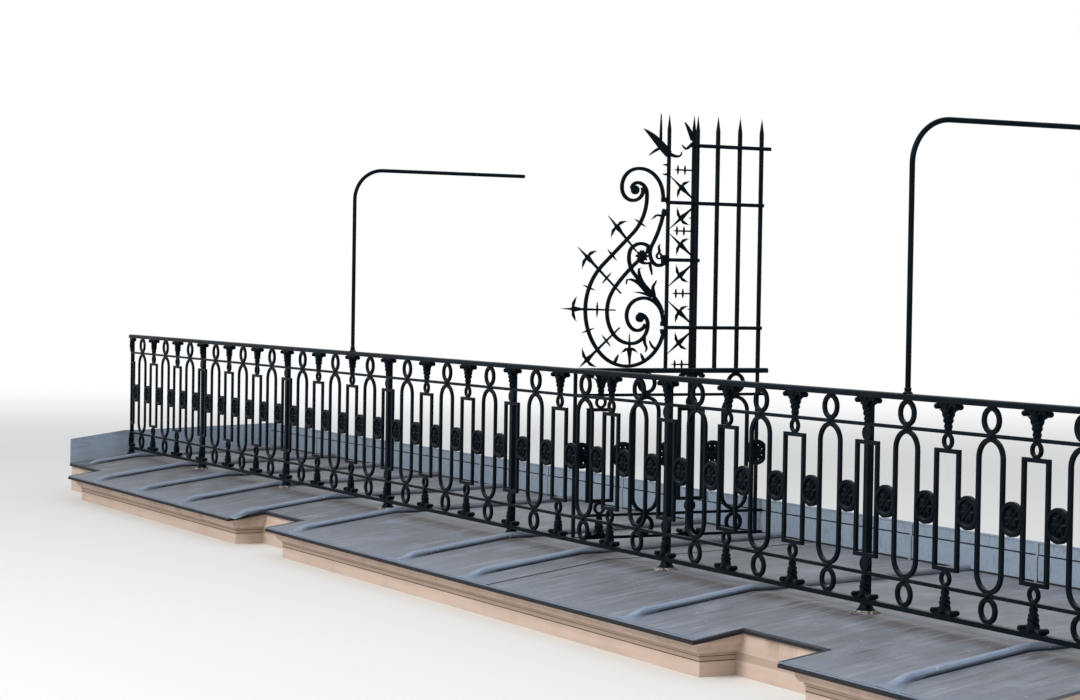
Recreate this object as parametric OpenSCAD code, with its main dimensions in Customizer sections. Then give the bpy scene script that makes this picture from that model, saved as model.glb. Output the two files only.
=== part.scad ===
// Wrought iron balcony: a cast figure railing on a zinc covered stone terrace, divided by a spiked grille.
// X runs along the house front, Y from the terrace edge to the house wall, Z up. Millimetres.

/* [Railing] */
// Number of bays between posts
bays = 7; // [7:1:9]
// Distance between neighbouring figures, six to a bay
pitch = 293; // [280:1:320]
// Handrail's top above the terrace
rail_height = 1000; // [900:5:1150]
// Handrail's width across the railing
handrail_w = 50; // [36:1:70]
// Handrail's height
handrail_h = 28; // [18:1:40]
// Height of the two thin rails and of the divider's bottom rail
thin_rail_h = 16; // [10:1:20]
// Height of the bottom rail
bottom_rail_h = 22; // [20:1:30]
// Depth of the bottom rail, across the railing
bottom_rail_d = 30; // [20:1:40]
// Clear height under the bottom rail
under_gap = 44; // [42:1:60]
// Clear height of the ring band under the handrail
top_band = 114; // [100:1:130]
// Clear height of the ring band over the bottom rail
low_band = 108; // [100:1:120]

/* [Figures] */
// Thickness of the flat cast figures, across the railing
figure_t = 16; // [8:1:20]
// Width of the figures' bars, seen from the front
figure_bar = 18.5; // [12:0.5:24]
// Outer width of the long loop
loop_w = 179; // [160:1:190]
// Outer width of the oblong frame
frame_w = 172; // [160:1:184]
// Clear height between the frame and its rail, where the small ring sits
eye_gap = 64; // [50:1:80]
// Width of the small ring's bar
eye_bar = 12.5; // [7:0.5:16]
// Diameter of the rosettes between the figures
rosette_d = 146; // [140:1:160]
// Thickness of a rosette at its rim
rosette_t = 19; // [17:1:26]
// Width of a rosette's flat rim
rosette_rim = 19; // [12:1:24]
// Width across the two volutes of a capital
capital_w = 155; // [140:1:172]
// Radius of a capital's volute
volute_r = 12; // [9:1:15]
// Diameter of the capital's shaft at its neck
shaft_d = 30; // [16:1:36]

/* [Posts] */
// Side of the square bar through each post
post_bar = 32; // [20:1:36]
// Diameter of the post's foot
foot_d = 77; // [64:1:90]

/* [Terrace] */
// Distance from the railing's middle to the house wall
walk_depth = 1262; // [1240:2:1600]
// Distance from the railing's middle to the front edge
ledge_depth = 765; // [640:5:900]
// Fall of the ledge from the railing to its front edge
ledge_fall = 105; // [60:1:110]
// Rise of the terrace from the railing to the house wall
walk_rise = 45; // [10:1:46]
// Underside of the slab below the terrace at the railing
slab_depth = 290; // [270:1:400]
// How far the cornice stands out in front of the slab
cornice_out = 262; // [180:1:320]
// Terrace beyond the last post
end_margin = 90; // [88:1:200]
// Thickness of the boarded zinc covering
zinc_t = 14; // [8:1:20]
// Overhang of the drip edge past the stone
drip_out = 12; // [6:1:20]
// Height of the drip edge
drip_h = 20; // [16:1:26]
// Width of a batten roll
roll_w = 40; // [30:1:50]
// Height of a batten roll
roll_h = 34; // [28:1:40]
// Height of the flashing against the walls
flashing_h = 200; // [120:5:300]
// Thickness of the flashing
flashing_t = 6; // [3:1:10]
// Width of a gap between two cornices
notch_w = 700; // [500:10:900]

/* [Divider] */
// Divider's place along the railing, in figures from the left wall
divider_fig = 26.5; // [24.5:1:28.5]
// Distance from the railing to the middle of the divider's first figure
divider_first = 179; // [170:1:190]
// Side of the divider's square bars
grille_bar = 16.5; // [12:0.5:20]
// Distance from the railing to the grille's front bar
front_bar_y = 590; // [570:1:610]
// Distance between the middles of the twin post's two bars
twin_gap = 26; // [22:1:34]
// Height of the grille above the handrail
grille_h = 1430; // [1400:10:1700]
// Length of a spear point
spear_l = 90; // [50:5:140]
// Width of the punched crossbars, across the grille
crossbar_w = 30; // [26:1:40]
// Height of the crossbars
crossbar_h = 17; // [10:1:20]
// Width of the scroll's flat bars, seen from the side
scroll_w = 16; // [12:1:20]
// Thickness of the scroll's flat bars
scroll_t = 15; // [12:1:20]
// Side of the spikes
spike_s = 9; // [7:1:11]

/* [Hoops] */
// Diameter of the hoops' round bar
hoop_d = 25; // [16:1:32]
// Middle of the hoops' arms above the terrace
hoop_top = 2205; // [1900:5:2500]
// Bend radius of the hoops at the bar's middle
hoop_bend = 200; // [100:5:300]
// Distance of each hoop from the divider, in figures
hoop_figs = 10.5; // [9.5:1:12.5]

/* [Hidden] */
$fn = 48;

iron = "#1c2328";
zinc = "#8791a0";
stone = "#e2cdb1";

seat = 2;       // how deep a round form is flattened where it meets a rail
slip = 0.3;     // clearance round a bar in its punched hole

figs = 6;
run = bays * figs * pitch;
deck_l = run + end_margin;

// Heights of the railing, from the terrace up
bottom_z0 = under_gap;
bottom_z1 = bottom_z0 + bottom_rail_h;
lower_z0 = bottom_z1 + low_band;
lower_z1 = lower_z0 + thin_rail_h;
hand_z0 = rail_height - handrail_h;
upper_z1 = hand_z0 - top_band;
upper_z0 = upper_z1 - thin_rail_h;
frame_z0 = lower_z1 + eye_gap;
frame_z1 = upper_z0 - eye_gap;
middle_z = (lower_z1 + upper_z0) / 2;

// Places along the front
divider_x = divider_fig * pitch;
hoop_left_x = (divider_fig - hoop_figs) * pitch;
hoop_right_x = (divider_fig + hoop_figs) * pitch;
roll_figs = [1.2, 4.9, 8.3, 11.6, 15.2, 18.8, 24.3, 27.25, 33.05, 40.1];

// Terrace edge: the cornices and the set back edge between them
post_y = (post_bar - figure_t) / 2;
level = post_y + foot_d / 2 + 2;
slab_front = ledge_depth - cornice_out;
cornice_left_x = [2.9 * pitch, 16.4 * pitch - notch_w / 2];
cornice_middle_x = [16.4 * pitch + notch_w / 2, 36.5 * pitch - notch_w / 2];
cornice_right_x = [36.5 * pitch + notch_w / 2, deck_l];

// Divider places, measured from the railing's middle to the wall
twin_y = divider_first + 2 * pitch;
bar_ys = [twin_y + pitch / 2, twin_y + pitch];
end_bar_y = walk_depth - 58;
grille_top = rail_height + grille_h;
crossbar_zs = [for (h = [1255, 930, 608, 228]) rail_height + h];

// The part's origin is the middle of its underside
module place() {
    translate([-deck_l / 2, (ledge_depth - walk_depth) / 2, slab_depth])
        children();
}

// Terrace surface at a distance y behind the railing; it is level under the posts' feet
function deck_z(y) =
    y < -level ? (y + level) / (ledge_depth - level) * ledge_fall
    : y > level ? (y - level) / (walk_depth - level) * walk_rise
    : 0;

// Outlines

// Stands a flat outline up along the railing, half its thickness on each side
module upright(t) {
    rotate([90, 0, 0])
        linear_extrude(t, center = true)
            children();
}

// Stands an outline drawn toward the wall and up, and stretches it along the front
module across(l) {
    rotate([90, 0, 90])
        linear_extrude(l)
            children();
}

module stadium(w, h) {
    square([w, h - w], center = true);
    for (s = [-1, 1])
        translate([0, s * (h - w) / 2])
            circle(d = w, $fn = 64);
}

// A ring between two heights, flattened where it meets the rails
module seated_ring(z0, z1, bar) {
    d = z1 - z0 + 2 * seat;
    intersection() {
        translate([0, (z0 + z1) / 2])
            difference() {
                circle(d = d, $fn = 64);
                circle(d = d - 2 * bar, $fn = 64);
            }
        translate([-d, z0])
            square([2 * d, z1 - z0]);
    }
}

module long_loop() {
    h = upper_z0 - lower_z1 + 2 * seat;
    intersection() {
        translate([0, middle_z])
            difference() {
                stadium(loop_w, h);
                stadium(loop_w - 2 * figure_bar, h - 2 * figure_bar);
            }
        translate([-loop_w, lower_z1])
            square([2 * loop_w, upper_z0 - lower_z1]);
    }
}

module oblong_frame() {
    h = frame_z1 - frame_z0;
    translate([0, (frame_z0 + frame_z1) / 2])
        difference() {
            square([frame_w, h], center = true);
            square([frame_w - 2 * figure_bar, h - 2 * figure_bar], center = true);
        }
}

// Abacus, two volutes and a bell that narrows to the shaft; the top is at height 0
module capital_outline() {
    abacus = 9;
    hang = 3;
    slit_w = 9;
    slit_h = 7;
    bell = (capital_w - shaft_d) / 2 - 2 * volute_r;
    difference() {
        union() {
            translate([-capital_w / 2 + volute_r, -abacus])
                square([capital_w - 2 * volute_r, abacus]);
            for (s = [-1, 1])
                translate([s * (capital_w / 2 - volute_r), -volute_r - hang])
                    circle(r = volute_r);
            difference() {
                translate([-shaft_d / 2 - bell, -bell - abacus])
                    square([shaft_d + 2 * bell, bell + abacus]);
                for (s = [-1, 1])
                    translate([s * (shaft_d / 2 + bell), -bell - abacus])
                        circle(r = bell);
            }
        }
        for (s = [-1, 1])
            translate([s * (shaft_d / 2 + slit_w / 2) - slit_w / 2, -hang - slit_h])
                square([slit_w, slit_h]);
    }
}

// Pointed at both ends and round sided
module lens(l, w) {
    r = (l * l + w * w) / (4 * w);
    intersection() {
        translate([0, w / 2 - r])
            circle(r = r, $fn = 96);
        translate([0, r - w / 2])
            circle(r = r, $fn = 96);
    }
}

// Bent bars
// A route is a list of pieces: [radius, turn] bends the bar, to the left where the radius is
// positive, and [0, length] leaves it straight. A place is [first, second, heading].

function piece_end(p, piece) =
    piece[0] == 0
        ? [p[0] + piece[1] * cos(p[2]), p[1] + piece[1] * sin(p[2]), p[2]]
        : let (r = piece[0], h = p[2] + sign(r) * piece[1])
          [p[0] + r * (sin(h) - sin(p[2])), p[1] - r * (cos(h) - cos(p[2])), h];

function route_place(start, route, n) =
    n == 0 ? start : piece_end(route_place(start, route, n - 1), route[n - 1]);

function piece_length(piece) = piece[0] == 0 ? piece[1] : abs(piece[0]) * piece[1] * PI / 180;

// Place at a distance s along a route
function route_at(start, route, s, n = 0) =
    let (l = piece_length(route[n]))
    s > l && n < len(route) - 1
        ? route_at(piece_end(start, route[n]), route, s - l, n + 1)
        : piece_end(start, route[n][0] == 0 ? [0, s] : [route[n][0], route[n][1] * s / l]);

function route_length(route, n = 0) = n == len(route) ? 0 : piece_length(route[n]) + route_length(route, n + 1);

module sector(r, a0, a1) {
    n = ceil(abs(a1 - a0) / 45);
    polygon(concat([[0, 0]], [for (i = [0 : n]) let (a = a0 + (a1 - a0) * i / n) [r * cos(a), r * sin(a)]]));
}

module bent_piece(p, piece, w, lap) {
    r = piece[0];
    if (r == 0) {
        translate([p[0], p[1]])
            rotate(p[2])
                translate([-lap, -w / 2])
                    square([piece[1] + 2 * lap, w]);
    } else {
        turn = sign(r) * lap / abs(r) * 180 / PI;
        a0 = p[2] - sign(r) * 90 - turn;
        a1 = a0 + sign(r) * piece[1] + 2 * turn;
        translate([p[0] - r * sin(p[2]), p[1] + r * cos(p[2])])
            intersection() {
                difference() {
                    circle(r = abs(r) + w / 2, $fn = 96);
                    circle(r = abs(r) - w / 2, $fn = 96);
                }
                sector(2 * (abs(r) + w), a0, a1);
            }
    }
}

// Every other piece is a hair narrower and runs a little way into its neighbours, so that all are one bar
module bent_bar(start, route, w) {
    lap = 1;
    hair = 0.1;
    for (i = [0 : len(route) - 1])
        bent_piece(route_place(start, route, i), route[i], w - i % 2 * hair, i % 2 * lap);
}

// Spike from its root to its tip, pointed at the tip; grow widens it all round for a punched hole
module spike(root, tip, w = spike_s, grow = 0) {
    d = tip - root;
    l = norm(d);
    translate(root)
        rotate(atan2(d[1], d[0]))
            polygon([[0, -w / 2 - grow], [l - 2.5 * w, -w / 2 - grow], [l, 0], [l - 2.5 * w, w / 2 + grow],
                     [0, w / 2 + grow]]);
}

// Barb pointed at both ends, across the heading of a place
module barb(p, l, grow = 0) {
    w = spike_s;
    translate([p[0], p[1]])
        rotate(p[2] + 90)
            polygon([[-l / 2, 0], [-l / 5, -w / 2 - grow], [l / 5, -w / 2 - grow], [l / 2, 0],
                     [l / 5, w / 2 + grow], [-l / 5, w / 2 + grow]]);
}

// Terrace

// Stone under the covering, from a front face to the wall
module floor_slab() {
    color(stone)
        place()
            across(deck_l)
                polygon([
                    [-slab_front, -slab_depth], [walk_depth, -slab_depth], [walk_depth, walk_rise - zinc_t],
                    [level, -zinc_t], [-level, -zinc_t], [-slab_front, deck_z(-slab_front) - zinc_t]
                ]);
}

// Cornice moulding: top fillet, cyma, two fillets and fascia. First axis outward from the slab.
module cornice_outline() {
    out = cornice_out - drip_out;
    top = deck_z(-ledge_depth) - zinc_t;
    lip = 10;
    cyma = 27;
    fillet = 6;
    face = out - 2 * cyma - fillet;
    low = top - lip - 2 * cyma;
    h = slab_depth;
    translate([0, -h])
        square([face, h]);
    translate([0, low - 2 * fillet])
        square([face + fillet, -low + 2 * fillet]);
    translate([0, top - lip])
        square([out, lip - top]);
    intersection() {
        translate([out - 2 * cyma, top - lip - cyma])
            circle(r = cyma);
        translate([0, low])
            square([out, cyma]);
    }
    difference() {
        translate([0, top - lip - cyma])
            square([out, cyma]);
        translate([out, top - lip - cyma])
            circle(r = cyma);
    }
}

// Top of the stone, falling to the front edge. First axis outward from the slab.
module cornice_top() {
    polygon([
        [0, -slab_depth], [cornice_out, -slab_depth], [cornice_out, deck_z(-ledge_depth) - zinc_t],
        [0, deck_z(-slab_front) - zinc_t]
    ]);
}

// Projecting stone whose moulding runs along the front and returns at its free ends
module cornice(x, free_left, free_right) {
    l = x[1] - x[0];
    color(stone)
        place()
            translate([x[0], -slab_front, 0])
                intersection() {
                    rotate([90, 0, -90])
                        translate([0, 0, -l])
                            linear_extrude(l)
                                intersection() {
                                    cornice_outline();
                                    cornice_top();
                                }
                    if (free_left)
                        translate([cornice_out, 0, 0])
                            mirror([1, 0, 0])
                                rotate([90, 0, 0])
                                    linear_extrude(cornice_out)
                                        cornice_return(l);
                    if (free_right)
                        translate([l - cornice_out, 0, 0])
                            rotate([90, 0, 0])
                                linear_extrude(cornice_out)
                                    cornice_return(l);
                }
}

module cornice_return(l) {
    cornice_outline();
    translate([cornice_out - l, -slab_depth])
        square([l - cornice_out, slab_depth]);
}

module cornice_left() {
    cornice(cornice_left_x, true, true);
}

module cornice_middle() {
    cornice(cornice_middle_x, true, true);
}

module cornice_right() {
    cornice(cornice_right_x, true, false);
}

// Plan of the covering, set in from its front edges
module covering_plan(inset) {
    back = -slab_front - drip_out + inset;
    front = -ledge_depth + inset;
    l = cornice_left_x;
    m = cornice_middle_x;
    r = cornice_right_x;
    polygon([
        [0, walk_depth], [0, back], [l[0] + inset, back], [l[0] + inset, front], [l[1] - inset, front],
        [l[1] - inset, back], [m[0] + inset, back], [m[0] + inset, front], [m[1] - inset, front],
        [m[1] - inset, back], [r[0] + inset, back], [r[0] + inset, front], [deck_l, front], [deck_l, walk_depth]
    ]);
}

// Everything between the terrace surface and the same surface lowered by t
module under_surface(t) {
    across(deck_l)
        polygon([
            [walk_depth, walk_rise], [level, 0], [-level, 0], [-ledge_depth, -ledge_fall],
            [-ledge_depth, -ledge_fall - t], [-level, -t], [level, -t], [walk_depth, walk_rise - t]
        ]);
}

// Boarded covering with an edge turned down over the stone
module zinc_floor() {
    color(zinc)
        place()
            intersection() {
                difference() {
                    under_surface(drip_h);
                    translate([0, 0, -zinc_t])
                        intersection() {
                            under_surface(drip_h);
                            translate([0, 0, -2 * ledge_fall])
                                linear_extrude(4 * ledge_fall)
                                    covering_plan(drip_out);
                        }
                }
                translate([0, 0, -2 * ledge_fall])
                    linear_extrude(4 * ledge_fall)
                        covering_plan(0);
            }
}

function in_notch(x) =
    x < cornice_left_x[0] || (x > cornice_left_x[1] && x < cornice_middle_x[0])
    || (x > cornice_middle_x[1] && x < cornice_right_x[0]);

// Points of the roll's section, as [across, height]: most of a circle, flat below
roll_sides = 9;
roll_section = let (r = roll_w / 2, low = -asin((roll_h - r) / r), step = (180 - 2 * low) / roll_sides)
    [for (i = [0 : roll_sides]) let (a = low + i * step) [r * cos(a), roll_h - r + r * sin(a)]];

// Roll from its sloped nose, over the level strip under the railing, to the wall flashing
module batten_roll(front) {
    end = walk_depth - 2 * flashing_t - slip;
    n = len(roll_section);
    nose = [for (q = roll_section) let (y = -front + 1.4 * q[1]) [q[0], y, deck_z(y) + q[1]]];
    rest = [for (y = [-level, level, end], q = roll_section) [q[0], y, deck_z(y) + q[1]]];
    polyhedron(
        concat(nose, rest),
        concat(
            [[for (i = [n - 1 : -1 : 0]) i]],
            [for (k = [0 : 2], i = [0 : n - 1])
                [k * n + i, k * n + (i + 1) % n, (k + 1) * n + (i + 1) % n, (k + 1) * n + i]],
            [[for (i = [0 : n - 1]) 3 * n + i]]
        )
    );
}

module batten_rolls() {
    color(zinc)
        place()
            for (f = roll_figs) {
                x = f * pitch;
                translate([x, 0, 0])
                    batten_roll((in_notch(x) ? slab_front : ledge_depth) - 2 * roll_w);
            }
}

// Upstand along the house wall, folded once at two thirds of its height
module wall_flashing() {
    fold = flashing_h * 0.65;
    color(zinc)
        place()
            translate([flashing_t, 0, 0])
                across(deck_l - flashing_t)
                    polygon([
                        [walk_depth, walk_rise], [walk_depth, walk_rise + flashing_h],
                        [walk_depth - flashing_t, walk_rise + flashing_h],
                        [walk_depth - flashing_t, walk_rise + fold], [walk_depth - 2 * flashing_t, walk_rise + fold],
                        [walk_depth - 2 * flashing_t, deck_z(walk_depth - 2 * flashing_t)]
                    ]);
}

// Upstand along the left wall, following the terrace
module end_flashing() {
    front = slab_front + drip_out;
    color(zinc)
        place()
            across(flashing_t)
                polygon([
                    [walk_depth, walk_rise], [level, 0], [-level, 0], [-front, deck_z(-front)],
                    [-front, deck_z(-front) + flashing_h], [-level, flashing_h], [level, flashing_h],
                    [walk_depth, walk_rise + flashing_h]
                ]);
}

// Railing

// Shaft with a swelling above its middle, standing between two heights
module shaft(z0, z1, d) {
    h = z1 - z0;
    bulge = 0.62 * h;
    translate([0, 0, z0])
        rotate_extrude()
            union() {
                square([d / 2, h]);
                intersection() {
                    translate([d / 2 + 5 - bulge, h / 2])
                        circle(r = bulge, $fn = 64);
                    square([d, h]);
                }
            }
}

// Capital and shaft between the upper rail and the handrail
module upper_baluster() {
    translate([0, 0, hand_z0])
        upright(shaft_d + 4)
            capital_outline();
    shaft(upper_z1, hand_z0 - volute_r, shaft_d);
}

// The same turned over, between the bottom rail and the lower rail
module lower_baluster() {
    translate([0, 0, bottom_z1])
        mirror([0, 0, 1])
            upright(shaft_d + 4)
                capital_outline();
    shaft(bottom_z1 + volute_r, lower_z0, shaft_d);
}

// Dished rosette facing outward: rim, pierced field and an eight petalled flower. Its back is flush with
// the figures.
module rosette() {
    r = rosette_d / 2;
    field = r - rosette_rim;
    floor_t = rosette_t - 11;
    petals = 8;
    petal_l = 30;
    boss_r = 11;
    gap_d = 12;
    rotate([90, 0, 0])
        translate([0, 0, -figure_t / 2])
            difference() {
                union() {
                    rotate_extrude($fn = 64)
                        polygon([
                            [0, 0], [r, 0], [r, rosette_t - 2], [r - 3, rosette_t], [field + 2, rosette_t],
                            [field - 2, floor_t], [boss_r, floor_t], [boss_r - 2, rosette_t - 2],
                            [boss_r - 6, rosette_t + 1], [0, rosette_t + 2]
                        ]);
                    for (i = [0 : petals - 1])
                        rotate(i * 360 / petals)
                            translate([boss_r + petal_l / 2 - 2, 0, 1])
                                linear_extrude(rosette_t - 5)
                                    lens(petal_l, 15);
                }
                for (i = [0 : petals - 1])
                    rotate((i + 0.5) * 360 / petals)
                        translate([field - gap_d / 2 - 4, 0, -1])
                            linear_extrude(rosette_t)
                                circle(d = gap_d, $fn = 4);
            }
}

module loop_figure() {
    upright(figure_t) {
        seated_ring(upper_z1, hand_z0, figure_bar);
        long_loop();
        seated_ring(bottom_z1, lower_z0, figure_bar);
    }
}

module frame_figure() {
    upright(figure_t) {
        seated_ring(frame_z1, upper_z0, eye_bar);
        oblong_frame();
        seated_ring(lower_z1, frame_z0, eye_bar);
    }
    upper_baluster();
    lower_baluster();
}

// The part of a bay's plane that belongs to a post's own frame
module post_zone() {
    translate([0, 0, middle_z])
        cube([frame_w, 6 * rosette_t, 2 * rosette_d], center = true);
}

// One bay between two posts: loop, frame, loop, frame, loop and the rosettes between them
module panel(bay) {
    color(iron)
        place()
            translate([(bay - 1) * figs * pitch, 0, 0]) {
                for (k = [1 : figs - 1])
                    translate([k * pitch, 0, 0])
                        if (k % 2 == 1)
                            loop_figure();
                        else
                            frame_figure();
                difference() {
                    for (k = [0 : figs - 1])
                        translate([(k + 0.5) * pitch, 0, middle_z])
                            rosette();
                    for (k = [0, figs])
                        translate([k * pitch, 0, 0])
                            post_zone();
                }
            }
}

// Round foot that carries a post on the terrace
module foot() {
    r = foot_d / 2;
    rotate_extrude()
        polygon([
            [0, 0], [r, 0], [r, 5], [r - 4, 9], [post_bar / 2 + 11, 14], [post_bar / 2 + 8, under_gap - 9],
            [post_bar / 2 + 11, under_gap - 6], [0, under_gap - 6]
        ]);
}

// A frame figure in front of a square bar that runs from the handrail to the terrace, with the edges of
// the rosettes beside it
module post_figure(sides) {
    frame_figure();
    translate([-post_bar / 2, post_y - post_bar / 2, 0])
        cube([post_bar, post_bar, hand_z0]);
    translate([0, post_y, 0])
        foot();
    intersection() {
        for (s = sides)
            translate([s * pitch / 2, 0, middle_z])
                rosette();
        post_zone();
    }
}

module post(bay) {
    color(iron)
        place()
            translate([bay * figs * pitch, 0, 0])
                post_figure(bay < bays ? [-1, 1] : [-1]);
}

// Half a post against the left wall
module wall_half_post() {
    color(iron)
        place()
            intersection() {
                post_figure([1]);
                translate([flashing_t, -foot_d, 0])
                    cube([frame_w, 2 * foot_d, rail_height]);
            }
}

// A rail made of lengths between the posts
module rail_lengths(z0, z1, d) {
    color(iron)
        place()
            for (b = [0 : bays - 1])
                translate([b * figs * pitch + post_bar / 2, -d / 2, z0])
                    cube([figs * pitch - post_bar, d, z1 - z0]);
}

module upper_rail() {
    rail_lengths(upper_z0, upper_z1, figure_t);
}

module lower_rail() {
    rail_lengths(lower_z0, lower_z1, figure_t);
}

module bottom_rail() {
    rail_lengths(bottom_z0, bottom_z1, bottom_rail_d);
}

// Handrail section: flat below, round shoulders above; the origin is the middle of its underside
module handrail_outline() {
    r = handrail_h * 0.45;
    translate([-handrail_w / 2, 0])
        square([handrail_w, handrail_h - r]);
    translate([-handrail_w / 2 + r, 0])
        square([handrail_w - 2 * r, handrail_h]);
    for (s = [-1, 1])
        translate([s * (handrail_w / 2 - r), handrail_h - r])
            circle(r = r);
}

module handrail() {
    color(iron)
        place()
            translate([0, 0, hand_z0])
                across(run + capital_w / 2 + 4)
                    handrail_outline();
}

// Divider

// Moves to the divider's plane; first axis to the wall, second axis up
module divider_plate(t) {
    translate([divider_x - t / 2, 0, 0])
        across(t)
            children();
}

module divider_bar(y, z0, z1, w = grille_bar) {
    translate([divider_x - w / 2, y - w / 2, z0])
        cube([w, w, z1 - z0]);
}

// Square bar with a four sided point
module spear(y, z0) {
    w = grille_bar;
    divider_bar(y, z0, grille_top - spear_l);
    intersection() {
        divider_plate(w)
            polygon([[y - w / 2, grille_top - spear_l], [y + w / 2, grille_top - spear_l], [y, grille_top]]);
        translate([divider_x, y, grille_top - spear_l])
            upright(w)
                polygon([[-w / 2, 0], [w / 2, 0], [0, spear_l]]);
    }
}

module twin_post_block(grow) {
    translate([divider_x - grille_bar / 2 - grow, twin_y - twin_gap / 2 - grille_bar / 2 - grow, 0])
        cube([grille_bar + 2 * grow, twin_gap + grille_bar + 2 * grow, grille_top]);
}

divider_bar_y = figure_t / 2 + grille_bar / 2;
divider_rail_y = figure_t / 2 + grille_bar;

// The low rails stop at the flashing, the upper one reaches the wall
function divider_rail_end(z) = z < walk_rise + flashing_h ? walk_depth - 2 * flashing_t - slip : walk_depth;

// Upright that ties the divider to the railing
module divider_end_bar() {
    color(iron)
        place()
            divider_bar(divider_bar_y, bottom_z1, hand_z0);
}

module divider_cuts(grow) {
    twin_post_block(grow);
    divider_bar(end_bar_y, 0, grille_top, grille_bar + 2 * grow);
}

module divider_top_bar() {
    color(iron)
        place()
            difference() {
                translate([divider_x, handrail_w / 2, hand_z0])
                    rotate([90, 0, 180])
                        linear_extrude(walk_depth - handrail_w / 2)
                            handrail_outline();
                divider_cuts(0);
            }
}

module divider_rails() {
    color(iron)
        place()
            difference() {
                for (z = [upper_z0, lower_z0, bottom_z1 - thin_rail_h])
                    translate([divider_x - figure_t / 2, divider_rail_y, z])
                        cube([figure_t, divider_rail_end(z) - divider_rail_y, thin_rail_h]);
                divider_cuts(0);
            }
}

// The railing's figures again: frame, loop, frame, loop, with rosettes between them
module divider_figures() {
    color(iron)
        place()
            difference() {
                translate([divider_x, divider_first, 0])
                    rotate([0, 0, 90]) {
                        for (k = [0 : 3])
                            translate([k * pitch, 0, 0])
                                if (k % 2 == 0)
                                    frame_figure();
                                else
                                    loop_figure();
                        translate([(divider_rail_y - divider_first - frame_w / 2) / 2, 0, middle_z])
                            rosette();
                        for (k = [0 : 3])
                            translate([(k + 0.5) * pitch, 0, middle_z])
                                rosette();
                    }
                divider_cuts(0);
                translate([divider_x - pitch, walk_depth, 0])
                    cube([2 * pitch, pitch, rail_height]);
                translate([divider_x - pitch, divider_rail_y - pitch, 0])
                    cube([2 * pitch, pitch, rail_height]);
            }
}

// Two bars side by side from the terrace to the grille's top
module divider_twin_post() {
    color(iron)
        place()
            difference() {
                for (s = [-1, 1])
                    spear(twin_y + s * twin_gap / 2, 0);
                under_terrace();
            }
}

// Everything below the terrace surface behind the railing
module under_terrace() {
    across(deck_l)
        polygon([[0, -slab_depth], [walk_depth, -slab_depth], [walk_depth, walk_rise], [level, 0], [0, 0]]);
}

module grille_front_bar() {
    color(iron)
        place()
            spear(front_bar_y, rail_height);
}

module grille_bars() {
    color(iron)
        place() {
            for (y = bar_ys)
                spear(y, rail_height);
            difference() {
                spear(end_bar_y, 0);
                under_terrace();
            }
        }
}

// Flat crossbars, punched where the upright bars pass through
module grille_crossbars() {
    front = front_bar_y + bar_face;
    color(iron)
        place()
            difference() {
                for (c = [[twin_face, walk_depth, 0], [front, end_bar_y + crossbar_w / 2, 1],
                          [front, twin_y + crossbar_w, 2], [front, end_bar_y + crossbar_w / 2, 3]])
                    translate([divider_x - crossbar_w / 2, c[0], crossbar_zs[c[2]] - crossbar_h / 2])
                        cube([crossbar_w, c[1] - c[0], crossbar_h]);
                for (y = concat([front_bar_y, end_bar_y], bar_ys))
                    divider_bar(y, rail_height, grille_top, grille_bar + 2 * slip);
                twin_post_block(slip);
            }
}

// Scroll
// Its places are measured from the middle of the front bar, toward the wall, and from the handrail's top.

bar_face = -grille_bar / 2;
outer_start = [-14, 210, -106.4];
outer_route = [[0, 30], [-238, 119], [-345, 91], [0, 255], [288, 50.5], [60, 87.3], [39, 82]];
outer_eye = [-215, 993];
crown_start = [-29, 940, 100];
crown_route = [[0, 50], [150, 93.4], [104, 83.3], [70, 137.7], [43, 63.3]];
link_start = [-25, 892, -102];
link_route = [[0, 24], [-595, 17.4], [0, 17], [82, 66.9], [51, 108.5]];
ring_start = [-25, 310, 109];
ring_route = [[221, 30.2], [-1312, 7.7], [-131, 54.9], [-47, 27.5], [-84, 95.3]];
heart_start = [-164, 617, -142.5];
heart_route = [[956, 14.3], [256, 9.1], [209, 58.9], [146.5, 64.1], [105, 91.4], [55.5, 86.6]];
heart_eye = [-171, 281];
curl_start = [-20, 236, 87];
curl_route = [[197, 19], [125.5, 97.9], [98.5, 40.5], [91, 79.2], [55.5, 105.2]];
rose_at = [-164, 626];
eye_r = 25;

// Darts that pierce the scroll: root, tip, reach of the arms and length of the point
rays = [
    [[-200, 650], [-385, 846], 62, 79],
    [[-295, 415], [-573, 668], 62, 79],
    [[-328, 322], [-678, 327], 62, 79],
    [[-300, 225], [-551, 4], 62, 58],
    [[-232, 10], [-237, 192], 48, 84]
];

// Rays that carry a cross barb at a third of their length
barbed_rays = [1, 2, 3];

// Places of the barbs across the outer bar, as distances from its start
barb_steps = [675, 916, 1151, 1406];

// Collars that tie the bars to the front bar: outer edge and height
outer_collars = [[-42, 944], [-34, 206]];
inner_collars = [[-38, 866], [-34, 248]];

function along(p, q, t) = p + t * (q - p);

// Runs a blade along a route and brings it to a point; it is widest a fifth of the way along
module blade(start, route, w) {
    n = 8;
    l = route_length(route);
    at = [for (i = [0 : n]) route_at(start, route, l * i / n)];
    half = [for (i = [0 : n]) let (t = i / n) w / 2 * (1 - t) * (1 + 1.6 * t)];
    polygon(concat(
        [for (i = [0 : n]) [at[i][0] - half[i] * sin(at[i][2]), at[i][1] + half[i] * cos(at[i][2])]],
        [for (i = [n - 1 : -1 : 0]) [at[i][0] + half[i] * sin(at[i][2]), at[i][1] - half[i] * cos(at[i][2])]]
    ));
}

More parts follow.
